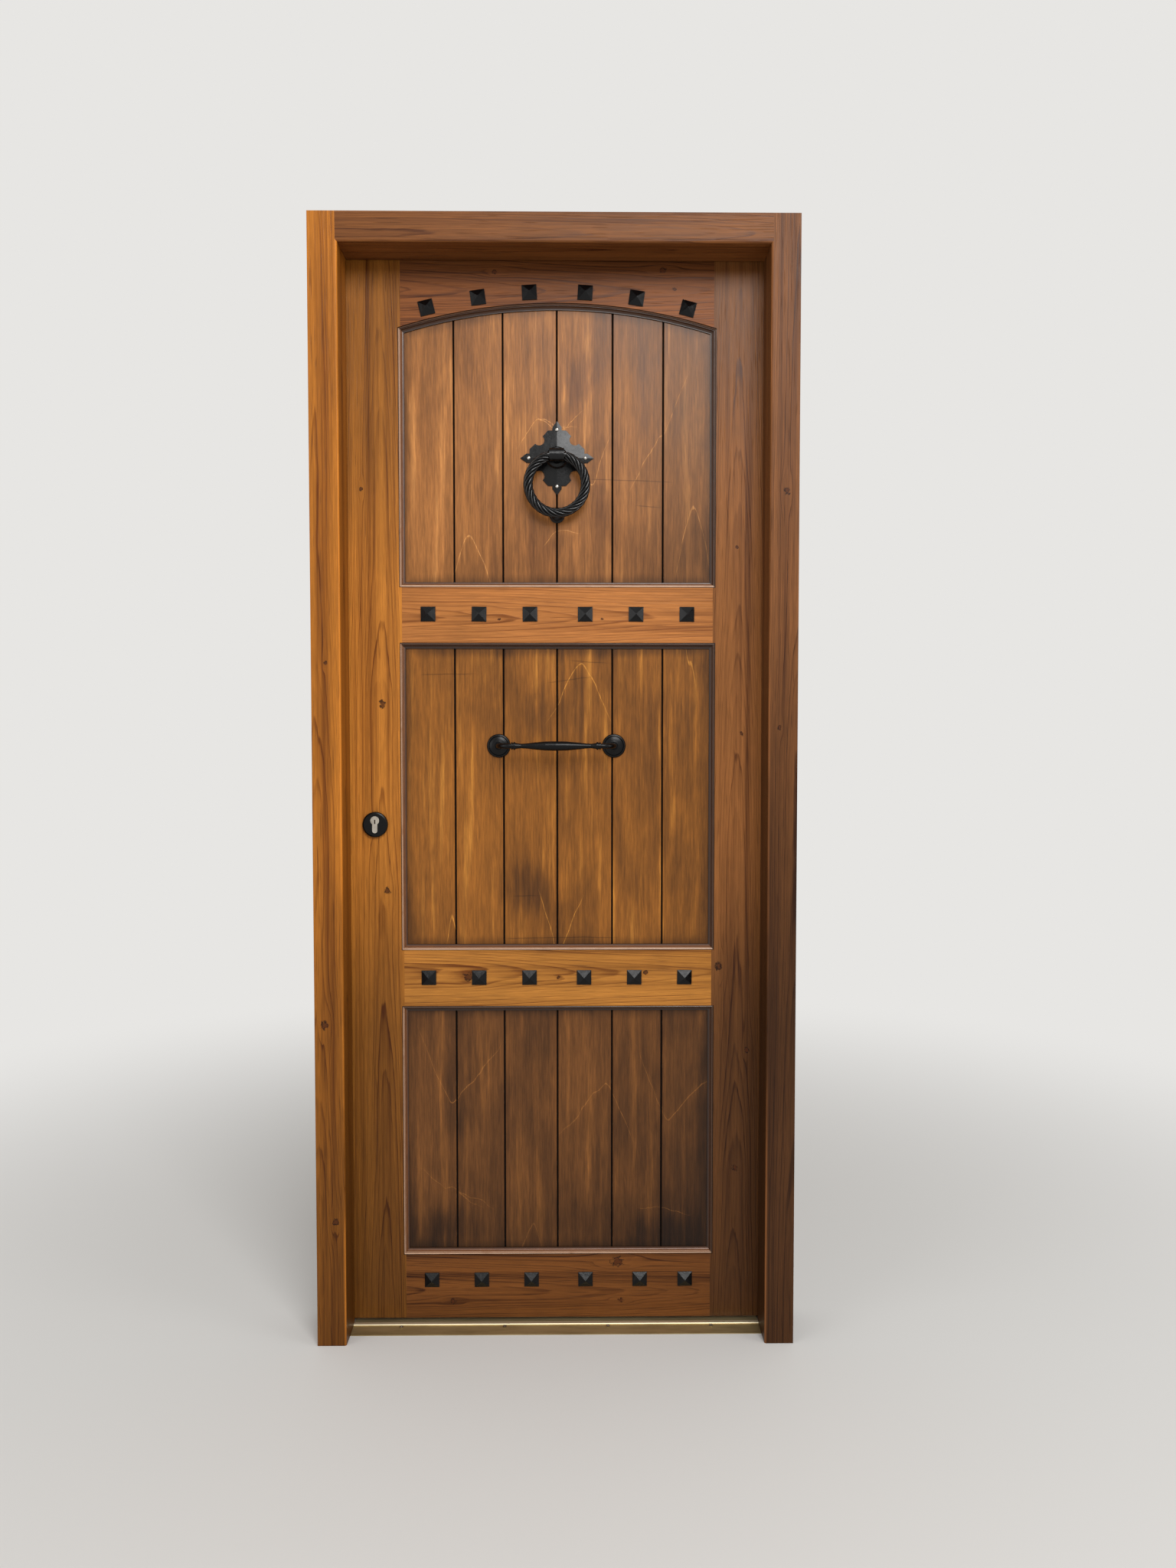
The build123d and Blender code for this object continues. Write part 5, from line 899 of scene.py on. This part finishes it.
# Ring knocker: a bar of eight strands, forged as a rope and bent into a ring, on a plain journal that
# turns in the plate's barrel. Domed nails hold the scalloped plate.
PLATE_X = 0.0025
PLATE_Z = 1.7017
RING_Y = -0.0165
RING_RADIUS = 0.055
ring_maker = Maker(
    "knocker_ring_tree",
    {
        "Ring Radius": RING_RADIUS, "Valley": 0.0066, "Crest": 0.0094, "Strands": 8, "Lead": 0.098,
        "Start Angle": 0.32244, "Journal Radius": 0.006, "Journal Reach": 0.01843,
    },
)
ring_given = ring_maker.given
line = ring_maker.put("GeometryNodeCurvePrimitiveLine", {"End": (0, 0, 1)})
line = ring_maker.put("GeometryNodeResampleCurve", {"Curve": line, "Count": 190})
run = ring_maker.put("GeometryNodeSplineParameter")
swing = ring_maker.less(2 * math.pi, ring_maker.times(ring_given["Start Angle"], 2.0))
swept = ring_maker.times(run, swing)
ring_angle = ring_maker.add(swept, ring_given["Start Angle"])
ring_point = ring_maker.put(
    "ShaderNodeCombineXYZ",
    (
        ring_maker.times(ring_maker.calc("SINE", ring_angle), ring_given["Ring Radius"]), 0.0,
        ring_maker.times(ring_maker.calc("COSINE", ring_angle), ring_given["Ring Radius"]),
    ),
)
bow = ring_maker.put("GeometryNodeSetPosition", {"Geometry": line, "Position": ring_point})
lay = ring_maker.times(ring_maker.over(ring_given["Ring Radius"], ring_given["Lead"]), 2 * math.pi)
bow = ring_maker.put("GeometryNodeSetCurveTilt", {"Curve": bow, "Tilt": ring_maker.times(swept, lay)})
bow, core = ring_maker.kept(bow, "VECTOR", ring_maker.put("GeometryNodeInputPosition"))
section = ring_maker.put("GeometryNodeCurvePrimitiveCircle", {"Resolution": 64, "Radius": ring_given["Valley"]})
section, round_share = ring_maker.kept(section, "FLOAT", ring_maker.put("GeometryNodeSplineParameter"))
rope = ring_maker.put("GeometryNodeCurveToMesh", {"Curve": bow, "Profile Curve": section, "Fill Caps": True})
strand_phase = ring_maker.times(ring_maker.times(round_share, ring_given["Strands"]), math.pi)
strand = ring_maker.calc("POWER", ring_maker.calc("ABSOLUTE", ring_maker.calc("SINE", strand_phase)), 0.6)
swell = ring_maker.times(strand, ring_maker.less(ring_given["Crest"], ring_given["Valley"]))
here = ring_maker.put("GeometryNodeInputPosition")
outward = ring_maker.put("ShaderNodeVectorMath", (here, core), operation="SUBTRACT")
outward = ring_maker.put("ShaderNodeVectorMath", (outward,), operation="NORMALIZE")
rope = ring_maker.put("GeometryNodeSetPosition", {"Geometry": rope, "Offset": ring_maker.scaled(outward, swell)})
rope = ring_maker.crisp(rope, 1.2)
journal_length = ring_maker.times(ring_given["Journal Reach"], 2.0)
journal = ring_maker.put(
    "GeometryNodeMeshCylinder",
    {"Vertices": 32, "Side Segments": 6, "Radius": ring_given["Journal Radius"], "Depth": journal_length},
)
journal = ring_maker.moved(journal, ring_maker.up(ring_given["Ring Radius"]), (0, math.pi / 2, 0))
whole_ring = ring_maker.joined(rope, ring_maker.crisp(journal))
ring_place = (PLATE_X, RING_Y, PLATE_Z - RING_RADIUS)
ring = ring_maker.make("twisted_ring", whole_ring, ring_iron, [(ring_place, (0, 0, 0))])
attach(ring, "ring")
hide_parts("knocker_ring")

nail_maker = Maker(
    "plate_nail_tree", {"Head Radius": 0.0037, "Rise": 0.0022, "Shank Radius": 0.0015, "Length": 0.020}
)
nail_given = nail_maker.given
dome = nail_maker.put("GeometryNodeMeshUVSphere", {"Segments": 18, "Rings": 12, "Radius": nail_given["Head Radius"]})
nail_place = nail_maker.put("ShaderNodeSeparateXYZ", (nail_maker.put("GeometryNodeInputPosition"),)).node.outputs
squat = nail_maker.over(nail_given["Rise"], nail_given["Head Radius"])
dome_height = nail_maker.times(nail_maker.higher(nail_place["Z"], 0.0), squat)
dome_point = nail_maker.put("ShaderNodeCombineXYZ", (nail_place["X"], nail_place["Y"], dome_height))
dome = nail_maker.put("GeometryNodeSetPosition", {"Geometry": dome, "Position": dome_point})
pin = nail_maker.put(
    "GeometryNodeMeshCone",
    {"Vertices": 8, "Radius Top": nail_given["Shank Radius"], "Radius Bottom": 0.0004, "Depth": nail_given["Length"]},
)
pin = nail_maker.moved(pin, nail_maker.down(nail_given["Length"]))
nail = nail_maker.joined(nail_maker.crisp(dome, 0.7), nail_maker.crisp(pin, 0.7))
NAIL_REACH = 0.0544
NAIL_Y = 0.0084
nail_places = [
    ((PLATE_X + x * NAIL_REACH, NAIL_Y, PLATE_Z + z * NAIL_REACH), OUTWARD)
    for x, z in ((-1, 0), (1, 0), (0, -1), (0, 1))
]
nails = nail_maker.make("plate_nails", nail, bright_screw, nail_places, spin=1.5, dents=0.0003, dent_size=0.002)
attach(nails, "leaf")
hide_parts("knocker_nails")


# Mortise lock: a folded steel case in the stile, a brushed forend, latch and dead bolt, and a nickelled
# brass profile cylinder between two round covers, with an oval turn inside.
nickel = steel("nickelled_brass", stained(196, 188, 176), stained(150, 140, 126), 0.30)
lock_steel = steel("zinc_plated_steel", stained(176, 176, 172), stained(126, 126, 122), 0.36)
dress(nickel, "cylinder_body", "cylinder_plug", "cylinder_cam", "thumb_turn")
dress(
    lock_steel, "lock_case", "lock_forend", "cylinder_screw", "lever_spindle", "lock_follower", "latch_bolt",
    "dead_bolt", "strike_plate",
)
TO_RIGHT = (0, math.pi / 2, 0)
TO_LEFT = (0, -math.pi / 2, 0)
LEAF_SIDE = 0.412
REBATE_SIDE = 0.415
LEAF_MIDDLE = 0.0225
forend_screws = screws(
    "forend_screw_pair", lock_steel, [((-LEAF_SIDE, LEAF_MIDDLE, height), TO_LEFT) for height in (0.9417, 1.1442)]
)
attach(forend_screws, "leaf")
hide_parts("forend_screws")
strike_screws = screws(
    "strike_screw_pair", lock_steel,
    [((-REBATE_SIDE, LEAF_MIDDLE, height), TO_RIGHT) for height in (0.9875, 1.1535)],
)
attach(strike_screws, "frame")
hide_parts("strike_screws")


# Hinges: three steel butts 100 mm high, let in flush, on loose pins with round caps. Four countersunk
# screws hold each plate, set in a zigzag.
hinge_steel = steel("hinge_steel", stained(150, 148, 142), stained(104, 100, 94), 0.38)
dress(
    hinge_steel, "hinge_pins",
    *[level + "_hinge_" + side + "_plate" for level in ("lower", "middle", "upper") for side in ("frame", "leaf")],
)
HINGE_FEET = (0.2025, 1.0295, 1.8565)
SCREW_STEP = 0.025
SCREW_LINE = 0.0254
SCREW_SHIFT = 0.0095
zigzag = [
    (SCREW_LINE + SCREW_SHIFT * (step % 2), foot + SCREW_STEP * step) for foot in HINGE_FEET for step in range(4)
]
for side, face_x, turned, body, old in (
    ("frame", REBATE_SIDE, TO_LEFT, "frame", "frame_hinge_screws"),
    ("leaf", LEAF_SIDE, TO_RIGHT, "leaf", "leaf_hinge_screws"),
):
    hinge_screws = screws(side + "_plate_screws", hinge_steel, [((face_x, y, z), turned) for y, z in zigzag])
    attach(hinge_screws, body)
    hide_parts(old)


# The scene is brought up to date; the pieces made again should leave the whole door's box as it was.
bpy.context.view_layer.update()
